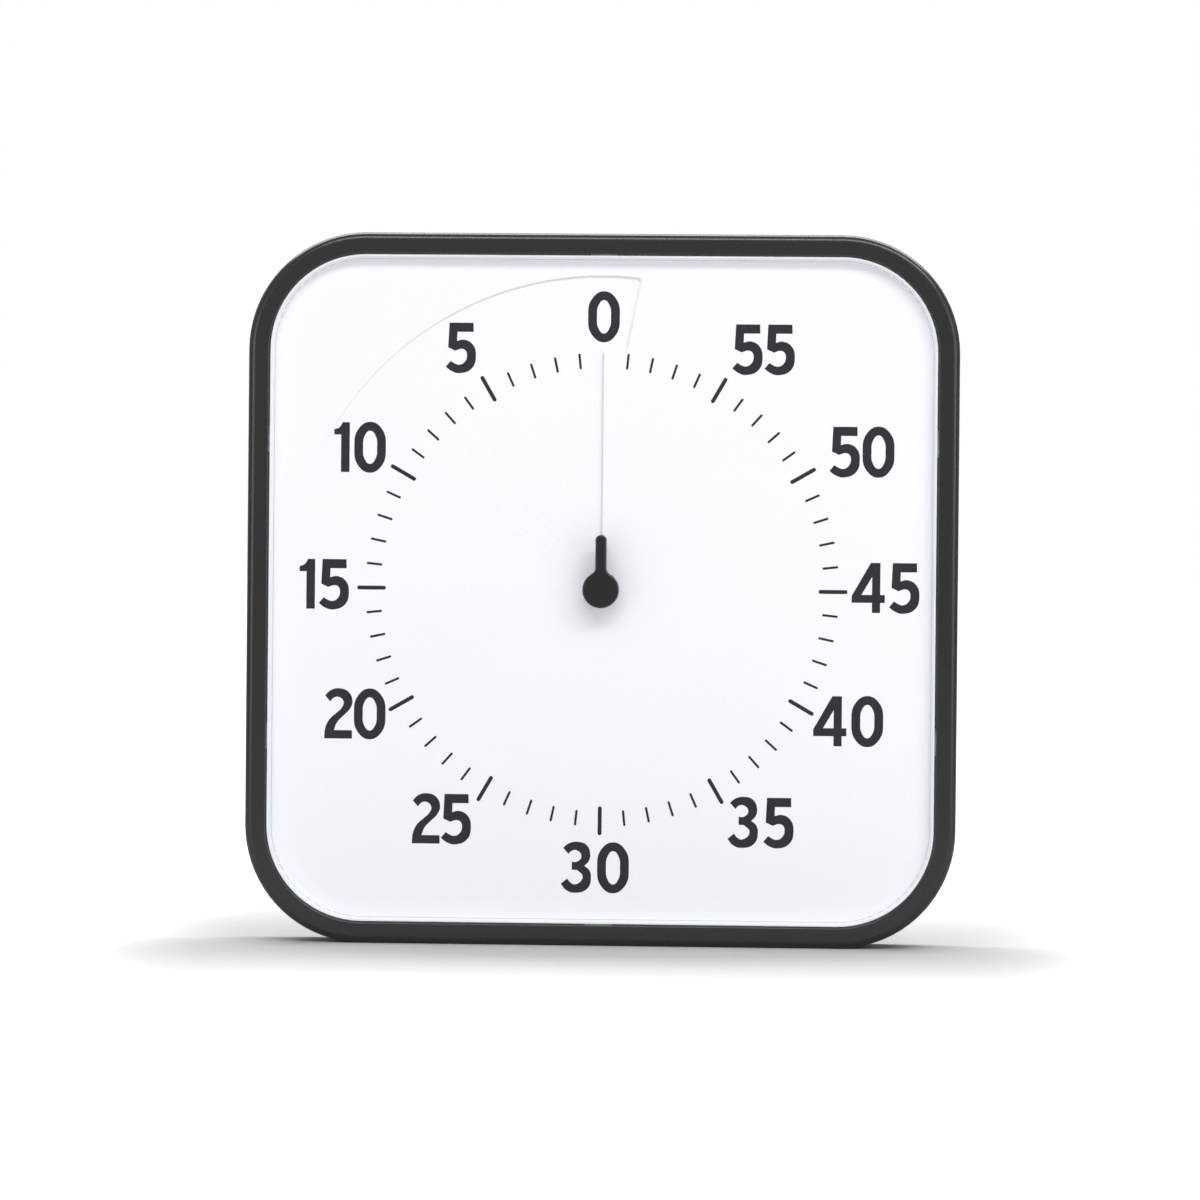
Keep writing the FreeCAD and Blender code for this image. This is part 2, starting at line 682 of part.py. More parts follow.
def make_knob():
    body = new_body("pointer_knob", ZERO, knob_back_y, axis_z)
    round_part = new_sketch(body, "Round")
    draw_circle(round_part, 0, 0, s.knob_radius)
    pad(body, round_part, s.knob_height)
    arm = new_sketch(body, "Pointer")
    half = s.pointer_width / 2
    draw_rectangle(arm, -half, 0, half, s.knob_reach - half)
    pad(body, arm, s.knob_height)
    tip = new_sketch(body, "Tip")
    draw_circle(tip, 0, s.knob_reach - half, half)
    pad(body, tip, s.knob_height)

    def upright(edge):
        box = edge.BoundBox
        return box.XLength < 1e-4 and box.ZLength < 1e-4

    def neck(edge):
        return upright(edge) and edge.CenterOfMass.z < s.knob_radius.value + 0.5 \
            and abs(abs(edge.CenterOfMass.x) - half.value) < 0.05

    round_edges(body, neck, s.neck_round)
    front = -s.knob_height.value
    round_edges(body, lambda edge: in_plane(edge, "Y", front), s.knob_round)
    socket = new_sketch(body, "Socket")
    flat = s.arbor_flat
    square = s.arbor_radius * s.arbor_radius - flat * flat
    rise = Size(math.sqrt(square.value), "sqrt(%s)" % square.text)
    turn = math.atan2(rise.value, flat.value)
    corners = [(flat, -rise), (flat, rise), (-flat, rise), (-flat, -rise)]
    lines = []
    for start, end in ((0, 1), (2, 3)):
        a = V(corners[start][0].value, corners[start][1].value, 0)
        b = V(corners[end][0].value, corners[end][1].value, 0)
        lines.append(socket.addGeometry(Part.LineSegment(a, b), False))
    arcs = []
    for first in (turn, turn + math.pi):
        circle = Part.Circle(V(0, 0, 0), V(0, 0, 1), s.arbor_radius.value)
        arcs.append(socket.addGeometry(Part.ArcOfCircle(circle, first, first + math.pi - 2 * turn), False))
    socket.addConstraint(Sketcher.Constraint("Coincident", lines[0], 2, arcs[0], 1))
    socket.addConstraint(Sketcher.Constraint("Coincident", arcs[0], 2, lines[1], 1))
    socket.addConstraint(Sketcher.Constraint("Coincident", lines[1], 2, arcs[1], 1))
    socket.addConstraint(Sketcher.Constraint("Coincident", arcs[1], 2, lines[0], 1))
    for arc in arcs:
        socket.addConstraint(Sketcher.Constraint("Coincident", arc, 3, -1, 1))
    for line, start in zip(lines, (0, 2)):
        pin_point(socket, line, 1, *corners[start])
    constrain(socket, "DistanceX", -1, 1, lines[0], 2, size=flat)
    constrain(socket, "DistanceX", -1, 1, lines[1], 2, size=-flat)
    pocket(body, socket, s.shaft_in_knob, forward=True)
    return body


# Places along Y inside the movement, behind its front face. The wheels stack one behind
# the other, so that each clears the next one's staff.
bush_back = movement_y + s.bush_length
flange_back = bush_back + s.running_fit + s.clutch_height
spring_back = flange_back + s.clutch_height
centre_front = spring_back
centre_back = centre_front + s.wheel_thickness
ring_back = centre_back + s.clutch_ring_height
third_front = centre_back + s.running_gap * 2
third_back = third_front + s.wheel_thickness
fourth_front = third_back + s.running_gap * 2
fourth_back = fourth_front + s.wheel_thickness
floor_y = movement_y + s.movement_wall
lid_y = movement_rear_y - s.movement_wall


def make_arbor():
    """The centre shaft: two flats in front, a journal in the bush and a rear pivot."""
    tip_y = knob_back_y - s.shaft_in_knob
    flange_front = bush_back + s.running_fit
    shoulder = ring_back + s.end_play
    pivot_end = movement_rear_y - s.running_gap
    body = turned("arbor", [
        (0, tip_y), (s.arbor_radius, tip_y), (s.arbor_radius, flange_front),
        (s.arbor_flange, flange_front), (s.arbor_flange, flange_back), (s.arbor_seat, flange_back),
        (s.arbor_seat, shoulder), (s.arbor_pivot, shoulder), (s.arbor_pivot, pivot_end), (0, pivot_end)])
    doc.recompute()
    flats = new_sketch(body, "Flats", out=-tip_y)
    beyond = s.arbor_radius + 1
    draw_rectangle(flats, s.arbor_flat, -beyond, beyond, beyond)
    draw_rectangle(flats, -beyond, -beyond, -s.arbor_flat, beyond)
    pocket(body, flats, hub_rear_y - tip_y + s.running_gap / 2)
    return body


def ring(label, inner, outer, front, back):
    return turned(label, [(inner, front), (outer, front), (outer, back), (inner, back)])


def make_shaft_hardware():
    """The bush, and the slip clutch that lets a hand turn the knob past the wheels."""
    bore = s.arbor_radius + s.running_fit
    flange_front = movement_y - s.running_gap / 2
    bush = turned("arbor_bush", [
        (bore, flange_front), (s.bush_flange, flange_front), (s.bush_flange, movement_y),
        (s.bush_radius, movement_y), (s.bush_radius, bush_back), (bore, bush_back)])
    # the spring is a dished washer between the shaft's flange and the centre wheel
    bore = s.arbor_seat + s.running_fit
    stock = s.spring_stock
    wheel_side = spring_back - s.running_fit
    spring = turned("clutch_spring", [
        (bore, flange_back), (bore + stock * 3, flange_back), (s.clutch_radius, wheel_side - stock),
        (s.clutch_radius, wheel_side), (s.clutch_radius - stock * 3, wheel_side)])
    retainer = ring("clutch_ring", s.arbor_seat, s.clutch_radius, centre_back + s.running_fit, ring_back)
    return [bush, spring, retainer]


def toothed_outline(teeth, module, phase):
    """Straight-flanked teeth, thin enough to run with play; phase is a tooth's angle."""
    pitch = 360 / teeth
    root = module * (teeth / 2 - 1.25)
    tip = module * (teeth / 2 + 0.95)
    points = []
    for tooth in range(teeth):
        middle = phase + tooth * pitch
        for radius, shift in ((root, -0.29), (tip, -0.10), (tip, 0.10), (root, 0.29)):
            turn = math.radians(middle + shift * pitch)
            points.append(V(radius * math.cos(turn), radius * math.sin(turn), 0))
    return Part.Face(Part.makePolygon(points + [points[0]]))


def toothed_disc(teeth, module, phase, front, back):
    """A toothed disc between two places along Y, on the Y axis."""
    disc = toothed_outline(teeth, module, phase).extrude(V(0, 0, back.value - front.value))
    disc.rotate(V(0, 0, 0), V(1, 0, 0), 90)
    disc.translate(V(0, back.value, 0))
    return disc


def round_bar(radius, front, back):
    return Part.makeCylinder(radius, back.value - front.value, V(0, front.value, 0), V(0, 1, 0))


CENTRE_TEETH = 60
THIRD_TEETH = 48
FOURTH_TEETH = 64
PINION_TEETH = 8

# Axes of the train as angles from the axis before, counter-clockwise from the right
THIRD_ANGLE = 165.0
FOURTH_ANGLE = 60.0
ROTOR_ANGLE = 20.0


def step_from(x, z, distance, angle):
    turn = math.radians(angle)
    return x + distance * math.cos(turn), z + distance * math.sin(turn)


def train_axes():
    third_reach = s.gear_module.value * (CENTRE_TEETH + PINION_TEETH) / 2
    fourth_reach = s.gear_module.value * (THIRD_TEETH + PINION_TEETH) / 2
    rotor_reach = s.fine_module.value * (FOURTH_TEETH + PINION_TEETH) / 2
    third = step_from(0, 0, third_reach, THIRD_ANGLE)
    fourth = step_from(*third, fourth_reach, FOURTH_ANGLE)
    rotor = step_from(*fourth, rotor_reach, ROTOR_ANGLE)
    return third, fourth, rotor


third_axis, fourth_axis, rotor_axis = train_axes()


def gap_phase(teeth, towards):
    """A tooth's angle that leaves a gap between teeth facing that way."""
    return towards + 180 / teeth


def make_train():
    """Centre wheel, third wheel, fourth wheel and rotor, each in mesh with the next."""
    module = s.gear_module.value
    fine = s.fine_module.value
    pivot = s.pivot_radius.value
    overhang = s.pinion_overhang
    staff_front = floor_y + s.bearing_height + s.end_play
    staff_back = lid_y - s.bearing_height - s.end_play
    pivot_front = staff_front - s.pivot_length
    pivot_back = staff_back + s.pivot_length

    centre = toothed_disc(CENTRE_TEETH, module, THIRD_ANGLE, centre_front, centre_back)
    bore = (s.arbor_seat + s.running_fit).value
    centre = centre.cut(round_bar(bore, centre_front - overhang, centre_back + overhang))
    pieces = [solid_piece("centre_wheel", centre, ZERO, ZERO, axis_z)]

    def staffed(label, parts, axis, body_radius):
        staff = round_bar(pivot, pivot_front, pivot_back)
        staff = staff.fuse(round_bar(body_radius, staff_front, staff_back))
        whole = staff.multiFuse(parts).removeSplitter()
        x = as_size(axis[0])
        return solid_piece(label, whole, x, ZERO, axis_z + axis[1])

    third_pinion = toothed_disc(PINION_TEETH, module, gap_phase(PINION_TEETH, THIRD_ANGLE + 180),
                                centre_front - overhang, centre_back + overhang)
    third_wheel = toothed_disc(THIRD_TEETH, module, FOURTH_ANGLE, third_front, third_back)
    pieces.append(staffed("third_wheel", [third_pinion, third_wheel], third_axis, s.staff_radius.value))

    fourth_pinion = toothed_disc(PINION_TEETH, module, gap_phase(PINION_TEETH, FOURTH_ANGLE + 180),
                                 third_front - overhang, third_back + overhang)
    fourth_wheel = toothed_disc(FOURTH_TEETH, fine, ROTOR_ANGLE, fourth_front, fourth_back)
    pieces.append(staffed("fourth_wheel", [fourth_pinion, fourth_wheel], fourth_axis, s.staff_radius.value))

    rotor_pinion = toothed_disc(PINION_TEETH, fine, gap_phase(PINION_TEETH, ROTOR_ANGLE + 180),
                                fourth_front - overhang, fourth_back + overhang)
    magnet = round_bar(s.magnet_radius.value, staff_front + overhang, centre_front - overhang)
    pieces.append(staffed("rotor", [rotor_pinion, magnet], rotor_axis, s.rotor_staff.value))
    return pieces


def make_movement():
    """The movement case: a tray with fixing ears, a flat lid, and what drives the wheels."""
    half = s.movement_width / 2
    inner = half - s.movement_wall
    tray = block("tray_outer", (-half, movement_y, axis_z - half), (half, lid_y, axis_z + half))
    room = block("tray_room", (-inner, floor_y, axis_z - inner), (inner, lid_y + 1, axis_z + inner))
    walls = cut("tray_walls", tray, [room])
    ear_back = lid_y
    ear_front = lid_y - s.ear_thickness
    ears = []
    holes = [rod("bush_hole", s.bush_radius, 0, axis_z, movement_y - 1, floor_y + 1)]
    for side in (-1, 1):
        reach = s.ear_reach * side
        bridge_low = half if side > 0 else reach
        bridge_high = reach if side > 0 else -half
        for level in (-1, 1):
            z = axis_z + s.ear_height * level
            ears.append(rod("ear", s.ear_radius, reach, z, ear_front, ear_back))
            ears.append(block("ear_bridge", (bridge_low, ear_front, z - s.ear_radius),
                              (bridge_high, ear_back, z + s.ear_radius)))
            holes.append(rod("ear_hole", s.screw_radius, reach, z, ear_front - 1, ear_back + 1))
    for x, z in train_axes():
        ears.append(rod("floor_bearing", s.bearing_radius, x, axis_z + z,
                        floor_y, floor_y + s.bearing_height))
        holes.append(rod("floor_bearing_hole", s.pivot_radius + s.running_fit, x, axis_z + z,
                         floor_y, floor_y + s.bearing_height * 2))
    base = cut("movement_base", fuse("tray_with_ears", [walls] + ears), holes)

    lid = block("lid_plate", (-half, lid_y, axis_z - half), (half, movement_rear_y, axis_z + half))
    posts = []
    lid_holes = [rod("arbor_pivot_hole", s.arbor_pivot + s.running_fit, 0, axis_z, lid_y - 1,
                     movement_rear_y - s.running_gap / 2)]
    for x, z in train_axes():
        posts.append(rod("lid_bearing", s.bearing_radius, x, axis_z + z, lid_y - s.bearing_height, lid_y))
        lid_holes.append(rod("lid_bearing_hole", s.pivot_radius + s.running_fit, x, axis_z + z,
                             lid_y - s.bearing_height * 1.5, lid_y))
    cover = cut("movement_lid", fuse("lid_with_posts", [lid] + posts), lid_holes)

    # the stator's plate has the rotor in its hole, and its bar passes through the coil
    rotor_x, rotor_z = rotor_axis
    plate_front = floor_y + s.stator_lift
    plate_back = plate_front + s.stator_stock
    right = inner - s.stator_inset
    window_left = s.pole_reach + rotor_x
    window_right = right - s.stator_leg
    foot_height = axis_z + s.stator_low + s.stator_leg / 2
    plate = block("stator_plate", (-s.pole_reach + rotor_x, plate_front, axis_z + s.stator_low),
                  (right, plate_back, axis_z + s.stator_bar_high))
    window = block("stator_window", (window_left, plate_front - 1, axis_z + s.stator_low + s.stator_leg),
                   (window_right, plate_back + 1, axis_z + s.stator_bar_low))
    seat = rod("rotor_room", s.magnet_radius + s.magnet_gap, rotor_x, axis_z + rotor_z,
               plate_front - 1, plate_back + 1)
    foot_places = (window_left + s.stator_leg / 2, right - s.stator_leg / 2)
    feet = [rod("stator_foot", s.stator_foot, x, foot_height, floor_y, plate_front) for x in foot_places]
    stator = cut("stator", fuse("stator_blank", [plate] + feet), [window, seat])
    coil_left = window_left + s.coil_margin
    coil_right = window_right - s.coil_margin
    coil = block("coil_winding",
                 (coil_left, plate_front - s.coil_layers, axis_z + s.stator_bar_low - s.coil_layers),
                 (coil_right, plate_back + s.coil_layers, axis_z + s.stator_bar_high + s.coil_layers))
    core_room = block("coil_room", (coil_left - 1, plate_front, axis_z + s.stator_bar_low),
                      (coil_right + 1, plate_back, axis_z + s.stator_bar_high))
    winding = cut("drive_coil", coil, [core_room])

    board_low = axis_z - right
    board_front = floor_y + s.board_lift
    board_back = board_front + s.board_thickness
    board = block("board_plate", (s.board_left, board_front, board_low),
                  (right, board_back, axis_z - s.board_drop))
    board_room = rod("board_room", s.bush_radius + s.running_gap, 0, axis_z, floor_y, board_back + 1)
    circuit = cut("circuit_board", board, [board_room])
    crystal = doc.addObject("Part::Cylinder", "quartz_can")
    crystal.Label = "quartz_can"
    bind(crystal, "Radius", s.can_radius)
    bind(crystal, "Height", s.can_length)
    place(crystal, right - s.can_length, board_back + s.can_radius, board_low + s.can_radius * 3)
    chip = block("driver_chip", (s.board_left + s.chip_width, board_back, board_low + s.chip_width),
                 (s.board_left + s.chip_width * 2, board_back + s.chip_height, board_low + s.chip_width * 2))
    chip.Label = "driver_chip"
    return [base, cover, stator, winding, circuit, crystal, chip]


# Pieces of the back cover, measured from its own parting line
shell_depth = s.case_depth - s.frame_depth
wall_depth = shell_depth - s.shell_wall
floor_drop = -axis_z
pocket_roof = floor_drop + s.foot_height + s.foot_gap * 2
pocket_front = shell_depth - s.foot_inset * 2
pocket_outer = s.foot_pivot + s.foot_radius + s.foot_swing
pocket_inner = s.foot_pivot - s.foot_length - s.foot_tip - s.foot_swing
bay_front = shell_depth - s.door_thickness - s.door_gap - s.cell_radius * 2 - s.cell_slack
rest_inset = s.rim_slope * 3


def make_rear_shell():
    """The back cover with its posts, battery bay, foot pockets, hanger and sound slots."""
    body = new_body("rear_shell", ZERO, parting_y, axis_z)
    outline = new_sketch(body, "Outline")
    draw_rounded_rectangle(outline, s.case_width, s.case_width, s.corner_radius)
    pad(body, outline, shell_depth, backward=True)
    round_edges(body, lambda edge: in_plane(edge, "Y", shell_depth.value), s.rear_round)
    round_edges(body, lambda edge: in_plane(edge, "Y", 0), s.seam_round)
    cavity = new_sketch(body, "Cavity")
    inner_width = s.case_width - s.shell_wall * 2
    draw_rounded_rectangle(cavity, inner_width, inner_width, s.corner_radius - s.shell_wall)
    pocket(body, cavity, wall_depth)
    round_edges(body, lambda edge: in_plane(edge, "Y", wall_depth.value)
                and abs(edge.BoundBox.YLength) < 1e-4, s.rear_round - s.shell_wall)

    # posts that the case screws pass, that the dial rests on and that carry the movement
    posts = new_sketch(body, "ScrewPosts")
    for x, y in post_spots:
        draw_circle(posts, x, y, s.post_radius)
    pad(body, posts, wall_depth + s.shell_wall / 2, backward=True)
    rests = new_sketch(body, "DialRests", out=-wall_depth)
    rest_reach = opening_width / 2 - rest_inset
    for side, along in tab_spots:
        x = {"right": rest_reach, "left": -rest_reach}.get(side, ZERO)
        y = {"top": rest_reach, "bottom": -rest_reach}.get(side, along)
        draw_circle(rests, x, y, s.post_radius * 0.75)
    pad(body, rests, wall_depth + parting_y - dial_back_y)
    carriers = new_sketch(body, "MovementPosts", out=-wall_depth)
    movement_posts = [(s.ear_reach * a, s.ear_height * b) for a in (-1, 1) for b in (-1, 1)]
    for x, y in movement_posts:
        draw_circle(carriers, x, y, s.movement_post_radius)
    pad(body, carriers, wall_depth + parting_y - lid_y)

    bay = new_sketch(body, "BatteryBay", out=-wall_depth)
    bay_margin = s.bay_wall + s.bay_flange
    side = s.bay_length / 2 + bay_margin
    low = -s.bay_drop - s.bay_height / 2 - bay_margin
    high = -s.bay_drop + s.bay_height / 2 + bay_margin
    draw_rectangle(bay, -side, low, side, high)
    pad(body, bay, s.shell_wall)
    well = new_sketch(body, "BatteryWell", out=-wall_depth)
    reach = s.bay_length / 2 + s.bay_wall
    draw_rectangle(well, -reach, -s.bay_drop - s.bay_height / 2 - s.bay_wall,
                   reach, -s.bay_drop + s.bay_height / 2 + s.bay_wall)
    pad(body, well, wall_depth - bay_front + s.bay_wall)

    # blocks round the pockets that the feet fold into, and the bosses of their pins
    feet = new_sketch(body, "FootBlocks", "XY_Plane", floor_drop + s.shell_wall / 2)
    bosses = new_sketch(body, "FootBosses", "XY_Plane", pocket_roof)
    pivot_y = shell_depth - s.foot_inset
    for hand in (-1, 1):
        near = (pocket_inner - s.shell_wall) * hand
        far = (pocket_outer + s.shell_wall) * hand
        first, last = (near, far) if hand > 0 else (far, near)
        draw_rectangle(feet, first, pocket_front - s.shell_wall, last, wall_depth + s.shell_wall / 2)
        draw_circle(bosses, s.foot_pivot * hand, pivot_y, s.pin_head_radius)
    pad(body, feet, s.foot_height + s.foot_gap * 2 + s.shell_wall / 2)
    pad(body, bosses, s.shell_wall * 3)
    notches = new_sketch(body, "FootPockets", "XY_Plane", pocket_roof)
    for hand in (-1, 1):
        first, last = (pocket_inner, pocket_outer) if hand > 0 else (-pocket_outer, -pocket_inner)
        draw_rectangle(notches, first, pocket_front, last, shell_depth + 1)
    pocket(body, notches, s.foot_height + s.foot_gap * 2 + 1)
    pilots = new_sketch(body, "FootPilots", "XY_Plane", pocket_roof)
    for hand in (-1, 1):
        draw_circle(pilots, s.foot_pivot * hand, pivot_y, s.pin_radius)
    pocket(body, pilots, s.shell_wall * 2.5, forward=True)

    # cuts from the back: screw heads, battery, hanger, switch and sound
    shanks = new_sketch(body, "ScrewHoles", out=-shell_depth)
    heads = new_sketch(body, "ScrewHeads", out=-shell_depth)
    for x, y in post_spots:
        draw_circle(shanks, x, y, s.screw_radius)
        draw_circle(heads, x, y, s.screw_head_radius + 0.2)
    pocket(body, shanks, forward=True)
    pocket(body, heads, shell_depth - s.case_screw_grip, forward=True)
    movement_pilots = new_sketch(body, "MovementPilots", out=lid_y * -1 + parting_y)
    for x, y in movement_posts:
        draw_circle(movement_pilots, x, y, s.screw_radius)
    pocket(body, movement_pilots, s.case_screw_grip - 1)
    cell = new_sketch(body, "CellRoom", out=-shell_depth)
    draw_rectangle(cell, -s.bay_length / 2, -s.bay_drop - s.bay_height / 2,
                   s.bay_length / 2, -s.bay_drop + s.bay_height / 2)
    pocket(body, cell, shell_depth - bay_front, forward=True)
    recess = new_sketch(body, "DoorRecess", out=-shell_depth)
    draw_rounded_rectangle(recess, s.door_length + s.door_gap * 2, s.door_height + s.door_gap * 2,
                           s.door_round + s.door_gap, -s.bay_drop)
    pocket(body, recess, s.door_thickness + s.door_gap / 2, forward=True)
    hanger = new_sketch(body, "HangerHole", out=-shell_depth)
    draw_circle(hanger, 0, s.hanger_height, s.hanger_radius)
    pocket(body, hanger, s.shell_wall + 1, forward=True)
    slot = new_sketch(body, "HangerSlot", out=-shell_depth)
    draw_rectangle(slot, -s.hanger_slot, s.hanger_height, s.hanger_slot, s.hanger_height + s.hanger_travel)
    pocket(body, slot, s.shell_wall + 1, forward=True)
    slot_end = new_sketch(body, "HangerSlotEnd", out=-shell_depth)
    draw_circle(slot_end, 0, s.hanger_height + s.hanger_travel, s.hanger_slot)
    pocket(body, slot_end, s.shell_wall + 1, forward=True)

    window = new_sketch(body, "SwitchWindow", out=-shell_depth)
    button_half = s.switch_button / 2 + s.door_gap
    draw_rectangle(window, s.switch_side - button_half, s.switch_height - button_half,
                   s.switch_side + s.switch_travel + button_half, s.switch_height + button_half)
    pocket(body, window, s.shell_wall + 1, forward=True)
    sound = new_sketch(body, "SoundSlots", out=-shell_depth)
    for index in range(-2, 3):
        half = s.sound_length / 2 * (1 - 0.09 * index ** 2)
        middle = -s.switch_side + s.sound_pitch * index
        draw_rectangle(sound, middle - s.sound_slot / 2, s.switch_height - half,
                       middle + s.sound_slot / 2, s.switch_height + half)
    pocket(body, sound, s.shell_wall + 1, forward=True)
    rails = new_sketch(body, "SwitchRails", out=-wall_depth)
    rail_half = s.switch_plate / 2 + s.door_gap
    for level in (-1, 1):
        inside = s.switch_height + rail_half * level
        outside = inside + s.bay_wall * level
        low, high = (outside, inside) if level < 0 else (inside, outside)
        draw_rectangle(rails, s.switch_side - s.switch_rail_reach, low,
                       s.switch_side + s.switch_travel + s.switch_rail_reach, high)
    pad(body, rails, s.switch_rail_depth)
    return body


def make_switch():
    """The slider that a finger moves at the back, and the contact block in front of it."""
    half = s.switch_button / 2
    plate_half = s.switch_plate / 2
    plate_reach = s.switch_plate_length / 2
    tongue_half = s.switch_tongue / 2
    x = s.switch_side
    z = axis_z + s.switch_height
    plate_back = inner_rear_y - s.sheet_clearance
    plate_front = plate_back - s.switch_plate_stock
    rail_front = inner_rear_y - s.switch_rail_depth
    plate = block("slider_plate", (x - plate_reach, plate_front, z - plate_half),
                  (x + plate_reach, plate_back, z + plate_half))
    button = block("slider_button", (x - half, plate_back, z - half),
                   (x + half, rear_y + s.switch_proud, z + half))
    tongue = block("slider_tongue", (x - tongue_half, rail_front + s.door_gap, z - tongue_half),
                   (x + tongue_half, plate_front, z + tongue_half))
    slider = fuse("sound_switch", [plate, button, tongue])
    tall = plate_half + s.bay_wall + s.door_gap
    contact = block("switch_block", (x - s.switch_rail_reach, rail_front - s.switch_block_depth, z - tall),
                    (x + s.switch_travel + s.switch_rail_reach, rail_front, z + tall))
    contact.Label = "switch_block"
    return [slider, contact]


def make_sounder():
    back = inner_rear_y
    front = back - s.sounder_thickness
    sounder = rod("sounder_can", s.sounder_radius, -s.switch_side, axis_z + s.switch_height, front, back)
    port = rod("sounder_port", s.sounder_radius * 0.62, -s.switch_side, axis_z + s.switch_height,
               front + s.sounder_face, back + 1)
    return cut("sounder", sounder, [port])


def make_battery():
    """The cell lies along X between two leaf contacts, under a door that tilts open."""
    cell_y = parting_y + bay_front + s.cell_radius + s.cell_slack / 2
    cell_z = axis_z - s.bay_drop
    body = new_body("battery_cell", -s.cell_length / 2, cell_y, cell_z)
    profile = new_sketch(body, "Profile", "XY_Plane")
    nub = s.cell_radius * 0.37
    broken = s.cell_radius * 0.06
    draw_polygon(profile, [(0, 0), (s.cell_length + s.cell_button, 0),
                           (s.cell_length + s.cell_button, nub), (s.cell_length, nub),
                           (s.cell_length, s.cell_radius - broken), (s.cell_length - broken, s.cell_radius),
                           (broken, s.cell_radius), (0, s.cell_radius - broken)])
    turn = body.newObject("PartDesign::Revolution", "Revolution")
    turn.Profile = profile
    turn.ReferenceAxis = (profile, ["H_Axis"])
    turn.Angle = 360
    body.Tip = turn
    pieces = [body]

    # each contact is a flat leaf in the end of the bay with a bump that meets the cell
    end = s.bay_length / 2
    leaf = s.leaf_stock
    width = s.cell_radius * 0.8
    deep = s.leaf_bump_width / 2
    tall = s.leaf_bump_height / 2
    for label, side, stop in (("contact_plus", 1, s.cell_length / 2 + s.cell_button),
                              ("contact_minus", -1, s.cell_length / 2)):
        low, high = (end - leaf, end) if side > 0 else (-end, -end + leaf)
        plate = block(label + "_leaf", (low, cell_y - width, cell_z - width),
                      (high, cell_y + width, cell_z + width))
        first, last = (stop, end - leaf) if side > 0 else (-end + leaf, -stop)
        bump = block(label + "_bump", (first, cell_y - deep, cell_z - tall),
                     (last, cell_y + deep, cell_z + tall))
        pieces.append(fuse(label, [plate, bump]))
    return pieces


def make_battery_door():
    body = new_body("battery_door", ZERO, rear_y, axis_z - s.bay_drop)
    outline = new_sketch(body, "Outline")
    draw_rounded_rectangle(outline, s.door_length, s.door_height, s.door_round)
    pad(body, outline, s.door_thickness)
    grip = new_sketch(body, "FingerHollow")
    grip_low = -s.door_height / 2 + s.grip_inset
    draw_rectangle(grip, -s.grip_width / 2, grip_low, s.grip_width / 2, grip_low + s.grip_height)
    pocket(body, grip, s.door_thickness * 0.5, forward=True)
    ribs = new_sketch(body, "CellRibs", out=s.door_thickness)
    for middle in (-s.rib_spread, s.rib_spread):
        draw_rectangle(ribs, middle - s.rib_width / 2, -s.bay_height / 2 + s.rib_width,
                       middle + s.rib_width / 2, s.bay_height / 2 - s.rib_top)
    pad(body, ribs, s.door_gap)
    return body


def make_foot(label, hand):
    """A flat leg round its pin, with a socket for the rubber pad near its end."""
    pivot_y = rear_y - s.foot_inset
    body = new_body(label, s.foot_pivot * hand, pivot_y, s.foot_gap)
    outline = new_sketch(body, "Arm", "XY_Plane")
    end = s.foot_length
    draw_polygon(outline, [(-s.foot_radius, 0), (s.foot_radius, 0), (s.foot_tip, end), (-s.foot_tip, end)])
    pad(body, outline, s.foot_height)
    for name, y, radius in (("Eye", ZERO, s.foot_radius), ("End", end, s.foot_tip)):
        circle = new_sketch(body, name, "XY_Plane")
        draw_circle(circle, 0, y, radius)
        pad(body, circle, s.foot_height)
    round_edges(body, lambda edge: in_plane(edge, "Z", s.foot_height.value), s.knob_round)
    bore = new_sketch(body, "Bore", "XY_Plane")
    draw_circle(bore, 0, 0, s.pin_radius + s.running_fit)
    pocket(body, bore, forward=True)
    head = new_sketch(body, "HeadRoom", "XY_Plane")
    draw_circle(head, 0, 0, s.pin_head_radius + 0.3)
    pocket(body, head, s.pin_head_height + 0.3, forward=True)
    pad_room = new_sketch(body, "PadRoom", "XY_Plane")
    draw_circle(pad_room, 0, end - s.pad_radius, s.pad_radius)
    pocket(body, pad_room, s.pad_height - s.foot_gap, forward=True)
    return body


def upright_turned(label, points, x, y):
    """A piece turned round its own Z axis, standing on the floor."""
    body = new_body(label, x, y, ZERO)
    profile = new_sketch(body, "Profile")
    draw_polygon(profile, points)
    turn = body.newObject("PartDesign::Revolution", "Revolution")
    turn.Profile = profile
    turn.ReferenceAxis = (profile, ["V_Axis"])
    turn.Angle = 360
    body.Tip = turn
    return body


def make_feet():
    pieces = []
    pivot_y = rear_y - s.foot_inset
    for side, hand in (("left", -1), ("right", 1)):
        pieces.append(make_foot("foot_" + side, hand))
        head_low = s.foot_gap + 0.15
        head_high = head_low + s.pin_head_height
        top = s.foot_height + s.foot_gap * 2 + s.shell_wall * 2.4
        pieces.append(upright_turned("foot_pin_" + side, [
            (0, head_low), (s.pin_head_radius, head_low), (s.pin_head_radius, head_high),
            (s.pin_radius, head_high), (s.pin_radius, top), (0, top)], s.foot_pivot * hand, pivot_y))
        pad_y = pivot_y + s.foot_length - s.pad_radius
        pieces.append(upright_turned("foot_pad_" + side, [
            (0, 0), (s.pad_radius - 0.4, 0), (s.pad_radius, 0.4), (s.pad_radius, s.pad_height),
            (0, s.pad_height)], s.foot_pivot * hand, pad_y))
    return pieces


